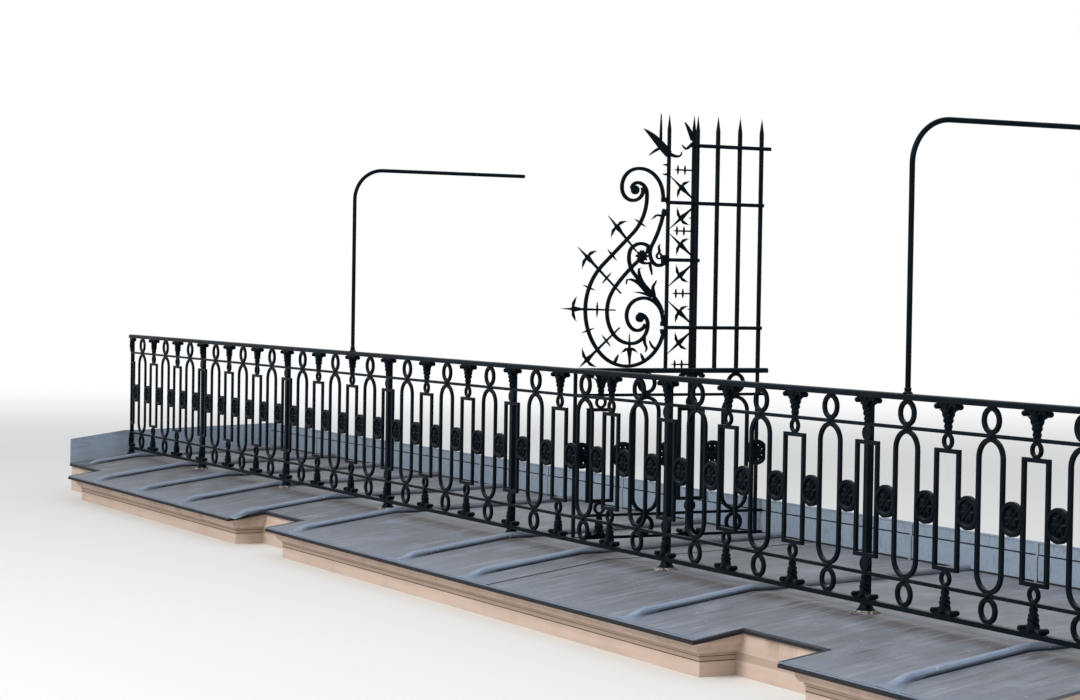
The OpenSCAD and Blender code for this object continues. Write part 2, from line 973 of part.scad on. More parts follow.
// Arrow with a long point and two swept arms, from its thin root to its tip. grow widens its stem for a
// punched hole.
module dart(root, tip, arm, point, grow = 0) {
    l = norm(tip - root);
    n = l - point;
    stem = spike_s * 0.8 + grow;
    neck = n - 50;
    sweep = 14;
    translate(root)
        rotate(atan2((tip - root)[1], (tip - root)[0]))
            polygon([
                [0, -stem / 2], [neck, -stem], [n - 9, -15], [n - sweep - 5, -arm + 8], [n - sweep, -arm], [n, -20],
                [n + 8, -7], [l, 0], [n + 8, 7], [n, 20], [n - sweep, arm], [n - sweep - 5, arm - 8], [n - 9, 15],
                [neck, stem], [0, stem / 2]
            ]);
}

module scroll_spike_outline(grow) {
    for (r = rays)
        dart(r[0], r[1], r[2], r[3], grow);
    for (i = barbed_rays)
        let (p = along(rays[i][0], rays[i][1], 1 / 3), d = rays[i][1] - rays[i][0])
            barb([p[0], p[1], atan2(d[1], d[0])], 84, grow);
    for (s = barb_steps)
        barb(route_at(outer_start, outer_route, s), 86, grow);
}

// Plate of the scroll, cut off where it meets the front bar
module scroll_plate(t) {
    intersection() {
        translate([0, front_bar_y, rail_height])
            divider_plate(t)
                children();
        translate([divider_x - pitch, front_bar_y + bar_face - 4 * pitch, rail_height])
            cube([2 * pitch, 4 * pitch, grille_h]);
    }
}

// Punched holes for the darts and barbs
module spike_holes() {
    translate([0, front_bar_y, rail_height])
        divider_plate(spike_s + 2 * slip)
            scroll_spike_outline(slip);
}

module collars(places) {
    h = 26;
    scroll_plate(scroll_t + 5)
        for (c = places)
            translate([c[0], c[1] - h / 2])
                square([-c[0], h]);
}

module scroll_outer() {
    color(iron)
        place()
            difference() {
                union() {
                    scroll_plate(scroll_t) {
                        bent_bar(outer_start, outer_route, scroll_w);
                        bent_bar(crown_start, crown_route, scroll_w);
                        translate(outer_eye)
                            circle(r = eye_r);
                        spurs();
                    }
                    collars(outer_collars);
                }
                spike_holes();
            }
}

// Leaf whose blades fan out from the ring's bar
module leaf() {
    blade([-90, 408, 138], [[0, 60], [-150, 44], [-14, 130]], 24);
    blade([-100, 402, 138], [[0, 90], [130, 40], [13, 95], [0, 16]], 22);
    blade([-100, 400, 155], [[250, 22], [0, 26]], 13);
    blade([-80, 402, 104], [[0, 40], [-30, 58], [60, 26]], 16);
}

// Tendrils between the bars and the curved bar behind the rose
module tendrils() {
    blade([-38, 853, 172], [[0, 26], [24, 60], [-30, 24], [0, 14]], 11);
    blade([-184, 602, -40], [[70, 80]], 15);
    blade([-114, 590, -76], [[0, 72]], 12);
    blade([-138, 172, -104], [[60, 50], [-22, 80], [0, 6]], 13);
    blade([-118, 684, -112], [[0, 54]], 20);
    blade([-60, 640, 40], [[22, 75], [-24, 55], [0, 8]], 11);
    translate([-54, 628])
        difference() {
            circle(r = 19);
            circle(r = 11);
        }
    translate([-38, 577])
        square([38, 58]);
}

// Spurs on the inside of the outer bar
module spurs() {
    blade([-331, 26, 62], [[0, 55]], 14);
    blade([-143, 44, 116], [[0, 44]], 13);
    blade([-66, 102, 128], [[60, 20], [-40, 30], [0, 26]], 11);
}

module scroll_inner() {
    color(iron)
        place()
            difference() {
                union() {
                    scroll_plate(scroll_t) {
                        bent_bar(link_start, link_route, scroll_w);
                        bent_bar(ring_start, ring_route, scroll_w);
                        bent_bar(heart_start, heart_route, scroll_w);
                        bent_bar(curl_start, curl_route, scroll_w);
                        translate(heart_eye)
                            circle(r = eye_r);
                        translate(rose_at)
                            circle(r = 22);
                        leaf();
                        tendrils();
                    }
                    collars(inner_collars);
                }
                spike_holes();
            }
}

// A flower of eight petals on each side of the heart's upper end
module scroll_rose() {
    petal_l = 30;
    color(iron)
        place()
            for (s = [-1, 1])
                translate([s * (scroll_t / 2 + 5) - 5, front_bar_y, rail_height])
                    divider_flower(petal_l);
}

module divider_flower(petal_l) {
    translate([divider_x, 0, 0])
        across(10)
            translate(rose_at) {
                circle(r = 14);
                for (a = [0 : 45 : 315])
                    rotate(a)
                        translate([petal_l / 2 + 4, 0])
                            lens(petal_l, 13);
            }
}

module scroll_spikes() {
    color(iron)
        place()
            translate([0, front_bar_y, rail_height])
                divider_plate(spike_s)
                    scroll_spike_outline(0);
}

// Spikes beside the twin post

twin_face = twin_y - twin_gap / 2 - grille_bar / 2;

// Dart from the twin post to the front bar, above or below a crossbar
module thistle(z, rise) {
    root = [twin_face, z + sign(rise) * 30];
    tip = [front_bar_y + grille_bar / 2, z + rise];
    dart(root, tip, 56, norm(tip - root) / 2);
}

// Bar with upright teeth, from the twin post toward the front bar
module comb(h) {
    z = rail_height + h;
    spike([twin_face, z], [front_bar_y + grille_bar / 2 + 24, z]);
    for (y = [48, 94])
        barb([twin_face - y, z, 0], 54);
}

// The bars that carry the narrow bay's spikes
module bay_bars() {
    divider_bar(front_bar_y, rail_height, grille_top);
    twin_post_block(0);
    for (i = [1 : 3])
        translate([divider_x - crossbar_w / 2, front_bar_y, crossbar_zs[i] - crossbar_h / 2])
            cube([crossbar_w, twin_face - front_bar_y, crossbar_h]);
}

module thistle_braces() {
    color(iron)
        place()
            difference() {
                divider_plate(spike_s) {
                    for (i = [1 : 3]) {
                        thistle(crossbar_zs[i], 150);
                        thistle(crossbar_zs[i], -150);
                    }
                    for (h = [1115, 772, 420, 20])
                        comb(h);
                    for (h = [847, 332])
                        spike([twin_face, rail_height + h], [twin_face - 22, rail_height + h], spike_s);
                }
                bay_bars();
                translate([divider_x - pitch, front_bar_y, rail_height - pitch])
                    cube([2 * pitch, pitch, pitch]);
            }
}

// Blades and spikes that spring from the tops of the front bar and of the twin post
module fan_spikes() {
    color(iron)
        place()
            difference() {
                divider_plate(spike_s + 2) {
                    translate([front_bar_y, rail_height]) {
                        blade([0, 1200, 137], [[0, 90], [600, 12]], 44);
                        blade([-45, 1238, 200], [[260, 22]], 15);
                        blade([0, 1207, -36], [[90, 40], [26, 90]], 17);
                        blade([-55, 1240, 90], [[0, 184]], 13);
                        blade([0, 1136, 158], [[60, 40]], 12);
                        blade([0, 1090, 200], [[-60, 40]], 12);
                    }
                    translate([twin_face, rail_height]) {
                        blade([0, 1285, 108], [[300, 22]], 24);
                        blade([0, 1268, 222], [[0, 45], [-14, 88], [0, 26]], 15);
                    }
                }
                bay_bars();
            }
}

// Hoops

// Round bar that rises from the handrail and bends back to the wall
module hoop(x) {
    color(iron)
        place()
            translate([x, 0, 0]) {
                translate([0, 0, rail_height])
                    cylinder(d = hoop_d, h = hoop_top - hoop_bend - rail_height);
                translate([0, hoop_bend, hoop_top - hoop_bend])
                    rotate([90, 0, -90])
                        rotate_extrude(angle = 90, $fn = 64)
                            translate([hoop_bend, 0])
                                circle(d = hoop_d, $fn = 32);
                translate([0, hoop_bend, hoop_top])
                    rotate([-90, 0, 0])
                        cylinder(d = hoop_d, h = walk_depth - hoop_bend);
            }
}

module hoop_left() {
    hoop(hoop_left_x);
}

module hoop_right() {
    hoop(hoop_right_x);
}

floor_slab();
cornice_left();
cornice_middle();
cornice_right();
zinc_floor();
batten_rolls();
wall_flashing();
end_flashing();
handrail();
upper_rail();
lower_rail();
bottom_rail();
wall_half_post();
post(1);  // post_1
post(2);  // post_2
post(3);  // post_3
post(4);  // post_4
post(5);  // post_5
post(6);  // post_6
post(7);  // post_7
panel(1);  // panel_1
panel(2);  // panel_2
panel(3);  // panel_3
panel(4);  // panel_4
panel(5);  // panel_5
panel(6);  // panel_6
panel(7);  // panel_7
divider_end_bar();
divider_top_bar();
divider_rails();
divider_figures();
divider_twin_post();
grille_front_bar();
grille_bars();
grille_crossbars();
scroll_outer();
scroll_inner();
scroll_rose();
scroll_spikes();
thistle_braces();
fan_spikes();
hoop_left();
hoop_right();
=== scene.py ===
import math

import bmesh
import bpy
from bpy.props import FloatProperty, FloatVectorProperty, PointerProperty
from mathutils import Matrix, Vector, noise


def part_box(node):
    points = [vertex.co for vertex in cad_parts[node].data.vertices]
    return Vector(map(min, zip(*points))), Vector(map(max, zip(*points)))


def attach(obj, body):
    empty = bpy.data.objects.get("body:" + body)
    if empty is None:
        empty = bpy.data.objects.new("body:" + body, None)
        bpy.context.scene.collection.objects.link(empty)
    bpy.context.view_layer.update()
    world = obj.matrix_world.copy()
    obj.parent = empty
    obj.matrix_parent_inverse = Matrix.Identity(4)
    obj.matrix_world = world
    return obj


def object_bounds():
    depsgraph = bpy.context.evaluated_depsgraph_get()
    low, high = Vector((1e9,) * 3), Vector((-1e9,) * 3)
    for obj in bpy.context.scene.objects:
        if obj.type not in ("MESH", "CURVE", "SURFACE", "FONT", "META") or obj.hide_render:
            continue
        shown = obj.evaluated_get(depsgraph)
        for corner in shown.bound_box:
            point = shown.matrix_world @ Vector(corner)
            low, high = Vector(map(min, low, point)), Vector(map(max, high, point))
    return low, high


bl_info = {
    "name": "Wrought Iron Balcony",
    "version": (1, 0, 0),
    "blender": (4, 5, 0),
    "location": "3D View > Sidebar > Balcony",
    "description": "Finishes the balcony's ironwork, zinc and stone and adds their cast and dressed detail",
    "category": "Object",
}

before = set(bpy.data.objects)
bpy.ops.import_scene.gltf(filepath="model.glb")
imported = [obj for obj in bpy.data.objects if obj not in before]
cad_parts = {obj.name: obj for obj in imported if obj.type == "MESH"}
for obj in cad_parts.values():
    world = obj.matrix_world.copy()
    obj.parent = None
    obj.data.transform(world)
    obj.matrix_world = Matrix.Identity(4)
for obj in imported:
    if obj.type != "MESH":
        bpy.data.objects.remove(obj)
CAD_LOW, CAD_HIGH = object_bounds()
HAND_LOW, HAND_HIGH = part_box("handrail")
MM = 0.001

# Places on the balcony, in metres: along the front from the left end, behind the railing, above the terrace
PITCH = 0.293
BAY = 6
BAYS = 7
RAIL_HEIGHT = 1.0
UNDER_HANDRAIL = 0.972
UPPER_RAIL = (0.842, 0.858)
LOWER_RAIL = (0.174, 0.190)
BOTTOM_RAIL_TOP = 0.066
ROSETTE_HEIGHT = 0.516
POST_Y = 0.008
LEVEL = 0.0485
WALK_DEPTH = 1.262
WALK_RISE = 0.045
LEDGE = 0.765
LEDGE_FALL = 0.105
SET_BACK = 0.503
DRIP = 0.012
ZINC = 0.014
DECK_END = 12.396
ROLL_FIGURES = (1.2, 4.9, 8.3, 11.6, 15.2, 18.8, 24.3, 27.25, 33.05, 40.1)
SHEET_TONES = (0.6, 0.66, 0.65, 0.72, 0.73, 0.87, 0.96, 1.02, 0.98, 1.05, 1.1)
CORNICES = ((0.8497, 4.4552), (5.1552, 10.3445), (11.0445, DECK_END))
CORNICE_OUT = 0.262
# Each groove's distance in front of the slab, and its height
CORNICE_GROOVES = ((0.190, -0.197), (0.190, -0.220))
GROOVE_HALF = 0.0021
# Middle and half height of the fillet and the band under it, where shade is painted
FILLET = (-0.2015, 0.0185)
STONE_LENGTH = 1.172
DIVIDER_X = 26.5 * PITCH
DIVIDER_FIRST = 0.179
FRONT_BAR_Y = 0.59


def linear(hex_colour):
    """Linear red, green and blue of an sRGB hex colour."""
    def channel(text):
        value = int(text, 16) / 255
        return value / 12.92 if value <= 0.04045 else ((value + 0.055) / 1.055) ** 2.4
    return tuple(channel(hex_colour[i:i + 2]) for i in (1, 3, 5))


def rgba(colour):
    return (*colour, 1)


def at(x, y, z):
    """Point of the frame for a place along the front, behind the railing and above the terrace."""
    return Vector((CAD_LOW.x + x, (HAND_LOW.y + HAND_HIGH.y) / 2 + y, HAND_HIGH.z - RAIL_HEIGHT + z))


def surface(y):
    """Height of the zinc at a distance behind the railing."""
    if y < -LEVEL:
        return (y + LEVEL) / (LEDGE - LEVEL) * LEDGE_FALL
    if y > LEVEL:
        return (y - LEVEL) / (WALK_DEPTH - LEVEL) * WALK_RISE
    return 0.0


def colour_setting(name, description, value):
    """Colour that can be changed in the sidebar, from its sRGB hex value."""
    return FloatVectorProperty(name=name, description=description, subtype="COLOR", default=linear(value))


def length_setting(name, description, value):
    """Length in metres that can be changed in the sidebar."""
    return FloatProperty(name=name, description=description, default=value, unit="LENGTH")


class IronProps(bpy.types.PropertyGroup):
    paint: colour_setting("Paint", "Colour of the brushed paint", "#050d14")
    sheen: colour_setting("Bleached paint", "Colour of the paint that the weather has dulled", "#0a151c")
    # Its colour also paints the sky's sheen on upper faces.
    dust_and_top_sheen: colour_setting("Dust", "Colour of the dust on upper faces", "#4d565d")
    rust: colour_setting("Rust", "Colour of the rust at joints", "#4a2c1e")


class ZincProps(bpy.types.PropertyGroup):
    sheet: colour_setting("Sheet", "Colour of the trodden zinc", "#73777f")
    bloom: colour_setting("Bloom", "Colour of the blue patina on rolls", "#8b9aaf")
    upstand: colour_setting("Upstand", "Colour of the untrodden flashing", "#abbccd")
    pale: colour_setting("Run-off", "Colour of the rain's streaks", "#94979d")
    stain: colour_setting("Stain", "Colour of the dirt at the railing", "#49403c")
    # Its colour also paints the shade along a roll's foot.
    soot_and_foot_shade: colour_setting("Soot", "Colour of the dirt at a roll's foot", "#2b2f36")
    lead: colour_setting("Lead", "Colour of the chalky dressed lead", "#b4b5b3")
    nose: length_setting("Nose", "Width of a roll's flattened nose at the drip edge", 0.24)
    welt: length_setting("Welt", "Radius of the welt along the drip edge", 0.0045)
    sheet_width: length_setting("Flashing sheet", "Length of flashing between two folds", 1.02)


class StoneProps(bpy.types.PropertyGroup):
    face: colour_setting("Face", "Colour of the limestone", "#c7b1a1")
    # Its colour also paints the shade under the drip edge and over the fillet.
    grime_and_shade: colour_setting("Grime", "Colour of the dirt under the edge", "#8c7662")
    joint: colour_setting("Joint", "Colour of the lime mortar", "#c3ae99")


class CastingProps(bpy.types.PropertyGroup):
    leaf_twist: FloatProperty(
        name="Leaf twist", description="Turn of the leaves round a shaft", default=math.radians(290),
        subtype="ANGLE")
    leaf_rise: length_setting("Leaf rise", "How far a shaft's leaves stand out", 0.0052)
    petal_length: length_setting("Petal length", "Length of a rosette's petal", 0.034)
    petal_width: length_setting("Petal width", "Width of a rosette's petal", 0.0178)


class StageProps(bpy.types.PropertyGroup):
    floor: colour_setting("Floor", "Colour of the plain floor", "#e6e4e0")
    floor_radius: length_setting("Floor radius", "Radius of the floor round the balcony", 160.0)
    key_power: FloatProperty(
        name="Key light", description="Power of the large soft lamp in front", default=2600.0, subtype="POWER")
    sky_strength: FloatProperty(
        name="Sky", description="Strength of the even light from all sides", default=0.75)


def props(name):
    return getattr(bpy.context.scene, "balcony_" + name)


# Materials

# Settings of a soft step, and of a mix of two colours
SOFT = {"interpolation_type": "SMOOTHSTEP"}
TINT = {"data_type": "RGBA"}


def add(material, kind, inputs=None, **settings):
    """Adds a shader node with its settings, and links or sets its inputs; a node stands for its result."""
    node = material.node_tree.nodes.new("ShaderNode" + kind)
    for name, value in settings.items():
        setattr(node, name, value)
    for key, value in (inputs or {}).items():
        if isinstance(value, bpy.types.Node):
            value = next(socket for socket in value.outputs if socket.enabled)
        if isinstance(value, bpy.types.NodeSocket):
            material.node_tree.links.new(value, node.inputs[key])
        else:
            node.inputs[key].default_value = value
    return node


def new_material(name):
    """Empty material, and the place on the balcony that its patterns follow."""
    material = bpy.data.materials.new(name)
    material.use_nodes = True
    material.node_tree.nodes.clear()
    return material, add(material, "TexCoord").outputs["Object"]


def painted_iron():
    """Wrought and cast iron under many coats of alkyd paint, put on with a brush."""
    # Near black with a blue green cast and a satin gloss, thick on the edges, with dusty dirt and a painted
    # sheen of the sky on what faces up.
    s = props("iron")
    m, place = new_material("iron_brushed_paint")
    casting, weather, speck = (add(m, "TexNoise", {
        "Vector": place, "Scale": 1 / (size * MM), "Detail": detail, "Roughness": fineness})
        for size, detail, fineness in ((9, 5, 0.62), (160, 4, 0.55), (22, 8, 0.7)))
    up = add(m, "SeparateXYZ", {0: add(m, "NewGeometry").outputs["Normal"]}).outputs["Z"]
    dull = add(m, "MapRange", {0: weather, 1: 0.38, 2: 0.68}, **SOFT)
    # Upper faces get a dusty layer and a painted sheen, more the more they look up.
    facing = add(m, "MapRange", {0: up, 1: 0.6, 2: 0.98, 4: 0.9}, **SOFT)
    dust_and_sheen_amount = add(m, "Math", {0: facing, 1: casting}, operation="MULTIPLY")
    spots = add(m, "MapRange", {0: speck, 1: 0.7, 2: 0.78, 4: 0.55}, **SOFT)
    colour = rgba(s.paint)
    for amount, coat in ((dull, s.sheen), (dust_and_sheen_amount, s.dust_and_top_sheen), (spots, s.rust)):
        colour = add(m, "Mix", {0: amount, 6: colour, 7: rgba(coat)}, **TINT)
    rough = add(m, "MapRange", {0: speck, 1: 0.3, 2: 0.7, 3: 0.28, 4: 0.5})
    edge = add(m, "Bevel", {"Radius": 2.5 * MM}, samples=4)
    relief = add(m, "Bump", {"Height": casting, "Strength": 0.35, "Distance": 1.2 * MM, "Normal": edge})
    shader = add(m, "BsdfPrincipled", {
        "Base Color": colour, "Roughness": rough, "Normal": relief, "IOR": 1.5, "Metallic": 0.0,
        "Specular IOR Level": 0.035})
    add(m, "OutputMaterial", {"Surface": shader})


def weathered_zinc(name, tint, sheets, trodden=0.0, foot=0.0):
    """Rolled titanium zinc sheet, bent by hand and left to weather."""
    # Matt grey patina, one tone to a sheet, streaked down the fall by the rain and brown along the railing.
    # sheets is how much of the sheets' tones, streaks and stains and of the painted shade on upright faces
    # shows, trodden how much of the patina has rubbed off behind the railing, and foot how much painted shade
    # and sooty dirt darken the foot of a roll.
    s = props("zinc")
    m, place = new_material(name)
    split = add(m, "SeparateXYZ", {0: place})
    behind = split.outputs["Y"]
    cloud, fine, dents, wander, lime = (add(m, "TexNoise", {
        "Vector": place, "Scale": 1 / (size * MM), "Detail": detail, "Roughness": fineness})
        for size, detail, fineness in (
            (260, 6, 0.62), (16, 6, 0.7), (190, 2, 0.5), (380, 1, 0.5), (24, 2, 0.4)))
    # Streaks 34 mm apart, which run down the fall and stray a little
    bent = add(m, "VectorMath", {0: wander.outputs["Color"], 1: (0.04, 0, 0)}, operation="MULTIPLY")
    strayed = add(m, "VectorMath", {0: place, 1: bent}, operation="ADD")
    fall = add(m, "Mapping", {"Vector": strayed, "Scale": (1 / (34 * MM), 1 / (560 * MM), 1 / (90 * MM))})
    streak = add(m, "TexNoise", {"Vector": fall, "Scale": 1, "Detail": 8, "Roughness": 0.7})
    washed = add(m, "MapRange", {0: streak, 1: 0.5, 2: 0.66, 4: 0.35 + 0.5 * sheets}, **SOFT)
    dirty = add(m, "MapRange", {0: streak, 1: 0.47, 2: 0.34, 4: 0.15 + 0.4 * sheets}, **SOFT)
    # One tone to a sheet, and clouds of patina that gather at the front edge
    along = add(m, "MapRange", {0: split.outputs["X"], 1: at(0, 0, 0).x, 2: at(DECK_END, 0, 0).x})
    tone = add(m, "ValToRGB", {0: along})
    sheet_tones(tone.color_ramp)
    walked = add(m, "MapRange", {0: behind, 1: at(0, -0.06, 0).y, 2: at(0, 0.14, 0).y, 4: trodden})
    clouded = add(m, "MapRange", {0: cloud, 1: 0.5, 2: 0.75, 4: 0.38}, **SOFT)
    brow = add(m, "MapRange", {0: behind, 1: at(0, 0.34 - LEDGE, 0).y, 2: at(0, -LEDGE, 0).y})
    patchy = add(m, "MapRange", {0: cloud, 1: 0.62, 2: 0.36, 4: 0.55 * sheets})
    fronted = add(m, "Math", {0: brow, 1: patchy}, operation="MULTIPLY")
    shade = add(m, "MapRange", {0: cloud, 1: 0.36, 2: 0.64, 3: 0.86, 4: 1.1})
    # Stains beside the railing, with ragged ends
    off = add(m, "Math", {0: behind, 1: at(0, -0.05, 0).y}, operation="SUBTRACT")
    distance = add(m, "Math", {0: off}, operation="ABSOLUTE")
    reach = add(m, "Math", {0: distance, 1: cloud}, operation="DIVIDE")
    near = add(m, "MapRange", {0: reach, 1: 0.26, 2: 0.05, 4: 0.8 * sheets}, **SOFT)
    ragged = add(m, "MapRange", {0: streak, 1: 0.62, 2: 0.4, 3: 0.25})
    stained = add(m, "Math", {0: near, 1: ragged}, operation="MULTIPLY")
    # Painted shade and sooty dirt in the last 24 mm above the sheet along a roll's foot, less toward the drip
    # edge
    ground = add(m, "MapRange", {
        0: behind, 1: at(0, -LEDGE, 0).y, 2: at(0, -LEVEL, 0).y, 3: at(0, 0, -LEDGE_FALL).z, 4: at(0, 0, 0).z})
    height = add(m, "Math", {0: split.outputs["Z"], 1: ground}, operation="SUBTRACT")
    low = add(m, "MapRange", {0: height, 1: 24 * MM, 2: 4 * MM, 4: foot}, **SOFT)
    swept = add(m, "MapRange", {0: behind, 1: at(0, -LEDGE, 0).y, 2: at(0, 0.2 - LEDGE, 0).y, 3: 0.25, 4: 1})
    foot_shade_and_soot_amount = add(m, "Math", {0: low, 1: swept}, operation="MULTIPLY")
    # Darker on upright faces as painted shade, with a fine grain and a few spots of lime
    up = add(m, "SeparateXYZ", {0: add(m, "NewGeometry").outputs["Normal"]}).outputs["Z"]
    upright = add(m, "MapRange", {0: up, 1: 0.3, 2: 0.8, 3: 1 - 0.45 * sheets}, **SOFT)
    grain = add(m, "MapRange", {0: fine, 1: 0.3, 2: 0.7, 3: 0.93, 4: 1.06})
    grain_and_upright_shade = add(m, "Math", {0: grain, 1: upright}, operation="MULTIPLY")
    limed = add(m, "MapRange", {0: lime, 1: 0.73, 2: 0.76, 4: 0.75}, **SOFT)
    colour = rgba(tint)
    for amount, layer, blend in (
            (walked, rgba(s.sheet), "MIX"), (sheets, tone, "MULTIPLY"), (washed, rgba(s.pale), "MIX"),
            (dirty, rgba(s.stain), "MIX"), (clouded, rgba(s.bloom), "MIX"), (fronted, rgba(s.bloom), "MIX"),
            (sheets, shade, "MULTIPLY"), (stained, rgba(s.stain), "MIX"), (foot_shade_and_soot_amount, rgba(s.soot_and_foot_shade), "MIX"),
            (1, grain_and_upright_shade, "MULTIPLY"), (limed, rgba(s.lead), "MIX")):
        colour = add(m, "Mix", {0: amount, 6: colour, 7: layer}, blend_type=blend, **TINT)
    rough = add(m, "MapRange", {0: streak, 1: 0.3, 2: 0.7, 3: 0.48, 4: 0.72})
    relief = add(m, "Bump", {"Height": dents, "Strength": 0.5, "Distance": 5 * MM})
    shader = add(m, "BsdfPrincipled", {
        "Base Color": colour, "Roughness": rough, "Normal": relief, "Metallic": 0.3})
    add(m, "OutputMaterial", {"Surface": shader})


def sheet_tones(ramp):
    """Gives each sheet between two rolls its own tone."""
    ramp.interpolation = "CONSTANT"
    while len(ramp.elements) > 1:
        ramp.elements.remove(ramp.elements[-1])
    ramp.elements[0].position = 0
    for figure, tone in zip((0, *ROLL_FIGURES), SHEET_TONES):
        stop = ramp.elements.new(figure * PITCH / DECK_END) if figure else ramp.elements[0]
        stop.color = (tone, tone, tone * 1.005, 1)


def dressed_lead():
    """Milled lead, dressed with a mallet and chalky from the weather."""
    # Pale dull grey, blotched with white carbonate and dark where the joint holds dirt.
    s = props("zinc")
    m, place = new_material("lead_dressed")
    blotch = add(m, "TexNoise", {"Vector": place, "Scale": 1 / (18 * MM), "Detail": 6, "Roughness": 0.65})
    chalk = add(m, "MapRange", {0: blotch, 1: 0.46, 2: 0.64}, **SOFT)
    colour = add(m, "Mix", {0: chalk, 6: rgba(s.stain), 7: rgba(s.lead)}, **TINT)
    relief = add(m, "Bump", {"Height": blotch, "Strength": 0.6, "Distance": 2 * MM})
    shader = add(m, "BsdfPrincipled", {
        "Base Color": colour, "Roughness": 0.75, "Normal": relief, "Metallic": 0.1})
    add(m, "OutputMaterial", {"Surface": shader})


def shade_and_dirt_lines(name, darkest, palest):
    """Dark matt lines: painted shade with dirt in the folds of the zinc, and painted shade in the grooves of
    the stone.
    """
    # Dark and matt, so a fold or a groove reads as a fine dark line of painted shade, nearly black on zinc and
    # brown on stone.
    m, place = new_material(name)
    clump = add(m, "TexNoise", {"Vector": place, "Scale": 1 / (8 * MM), "Detail": 4})
    colour = add(m, "Mix", {0: clump, 6: rgba(linear(darkest)), 7: rgba(linear(palest))}, **TINT)
    shader = add(m, "BsdfPrincipled", {"Base Color": colour, "Roughness": 0.95})
    add(m, "OutputMaterial", {"Surface": shader})


def dressed_limestone():
    """Cream limestone, sawn and rubbed smooth, then weathered."""
    # Matt pinkish cream with faint beds, pores and lime joints, and dirt where rain runs off the drip edge,
    # with painted shade under the drip edge and over the fillet.
    s = props("stone")
    m, place = new_material("limestone_rubbed")
    split = add(m, "SeparateXYZ", {0: place})
    height = split.outputs["Z"]
    # Beds that lie flat, and runs of dirt that hang down
    beds, runs = (add(m, "TexNoise", {
        "Vector": add(m, "Mapping", {
            "Vector": place, "Scale": (1 / (wide * MM), 1 / (wide * MM), 1 / (tall * MM))}),
        "Scale": 1, "Detail": detail, "Roughness": fineness})
        for wide, tall, detail, fineness in ((900, 45, 6, 0.65), (170, 520, 7, 0.62)))
    banded = add(m, "MapRange", {0: beds, 1: 0.35, 2: 0.65, 3: 0.9, 4: 1.06})
    soiled = add(m, "MapRange", {0: runs, 1: 0.42, 2: 0.72}, **SOFT)
    # Runs of dirt, strongest just under the drip edge, where they also paint its shade
    under = add(m, "MapRange", {0: height, 1: at(0, 0, -0.2).z, 2: at(0, 0, -0.115).z, 3: 0.16, 4: 0.8})
    washed = add(m, "Math", {0: soiled, 1: under}, operation="MULTIPLY")
    # Even painted shade over the fillet and the band under it
    fillet = add(m, "Math", {0: height, 1: at(0, 0, FILLET[0]).z, 2: FILLET[1]}, operation="COMPARE")
    painted_fillet_shade = add(m, "Math", {0: fillet, 1: 0.48}, operation="MULTIPLY")
    grime_and_shade_amount = add(m, "Math", {0: washed, 1: painted_fillet_shade}, operation="MAXIMUM")
    block = add(m, "Math", {0: split.outputs["X"], 1: 1 / STONE_LENGTH}, operation="MULTIPLY")
    part = add(m, "Math", {0: block}, operation="FRACT")
    jointed = add(m, "Math", {0: part, 1: 3.5 * MM}, operation="LESS_THAN")
    colour = add(m, "Mix", {0: 1, 6: rgba(s.face), 7: banded}, blend_type="MULTIPLY", **TINT)
    for amount, layer in ((grime_and_shade_amount, s.grime_and_shade), (jointed, s.joint)):
        colour = add(m, "Mix", {0: amount, 6: colour, 7: rgba(layer)}, **TINT)
    pores = add(m, "TexNoise", {"Vector": place, "Scale": 1 / (5 * MM), "Detail": 5, "Roughness": 0.7})
    relief = add(m, "Bump", {"Height": pores, "Strength": 0.3, "Distance": 1 * MM})
    shader = add(m, "BsdfPrincipled", {"Base Color": colour, "Roughness": 0.85, "Normal": relief, "IOR": 1.5})
    add(m, "OutputMaterial", {"Surface": shader})


# Material and slot of each node that isn't painted iron
STONE = ("limestone_rubbed", "stone")
UPSTAND = ("zinc_weathered_upstand", "zinc")
FINISHES = {
    "floor_slab": STONE, "cornice_left": STONE, "cornice_middle": STONE, "cornice_right": STONE,
    "zinc_floor": ("zinc_weathered_sheet", "zinc"), "batten_rolls": ("zinc_weathered_roll", "zinc"),
    "wall_flashing": UPSTAND, "end_flashing": UPSTAND}


class BALCONY_OT_finish_solids(bpy.types.Operator):
    """Gives every solid of the balcony its finish"""
    bl_idname = "balcony.finish_solids"
    bl_label = "Finish the solids"

    def execute(self, context):
        zinc = props("zinc")
        painted_iron()
        shade_and_dirt_lines("joint_dirt", "#0e0e12", "#26242a")
        shade_and_dirt_lines("groove_dirt", "#3a2a20", "#5a4636")
        weathered_zinc("zinc_weathered_sheet", zinc.sheet, 1.0)
        weathered_zinc("zinc_weathered_roll", zinc.bloom, 0.4, 0.9, 0.85)
        weathered_zinc("zinc_weathered_upstand", zinc.upstand, 0.35)
        dressed_limestone()
        for name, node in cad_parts.items():
            material, slot = FINISHES.get(name, ("iron_brushed_paint", "ironwork"))
            node.data.materials.clear()
            node.data.materials.append(bpy.data.materials[material])
        return {"FINISHED"}


# Mesh helpers

def circle(count):
    """Cosine and sine of even steps round a circle."""
    turns = [2 * math.pi * k / count for k in range(count)]
    return [(math.cos(turn), math.sin(turn)) for turn in turns]


def rows_of(place, along, across):
    """Rows of points, where place gives each for a share of the length and one across, from -1 to 1."""
    return [[place(j / along, 2 * i / across - 1) for i in range(across + 1)] for j in range(along + 1)]


def skin(bm, rings, closed=True):
    """Joins neighbouring rings of points with faces."""
    rows = [[bm.verts.new(point) for point in ring] for ring in rings]
    for low, high in zip(rows, rows[1:]):
        join(bm, low, high, closed)
    return rows


def join(bm, low, high, closed=True):
    count = len(low)
    for i in range(count if closed else count - 1):
        j = (i + 1) % count
        bm.faces.new((low[i], low[j], high[j], high[i]))


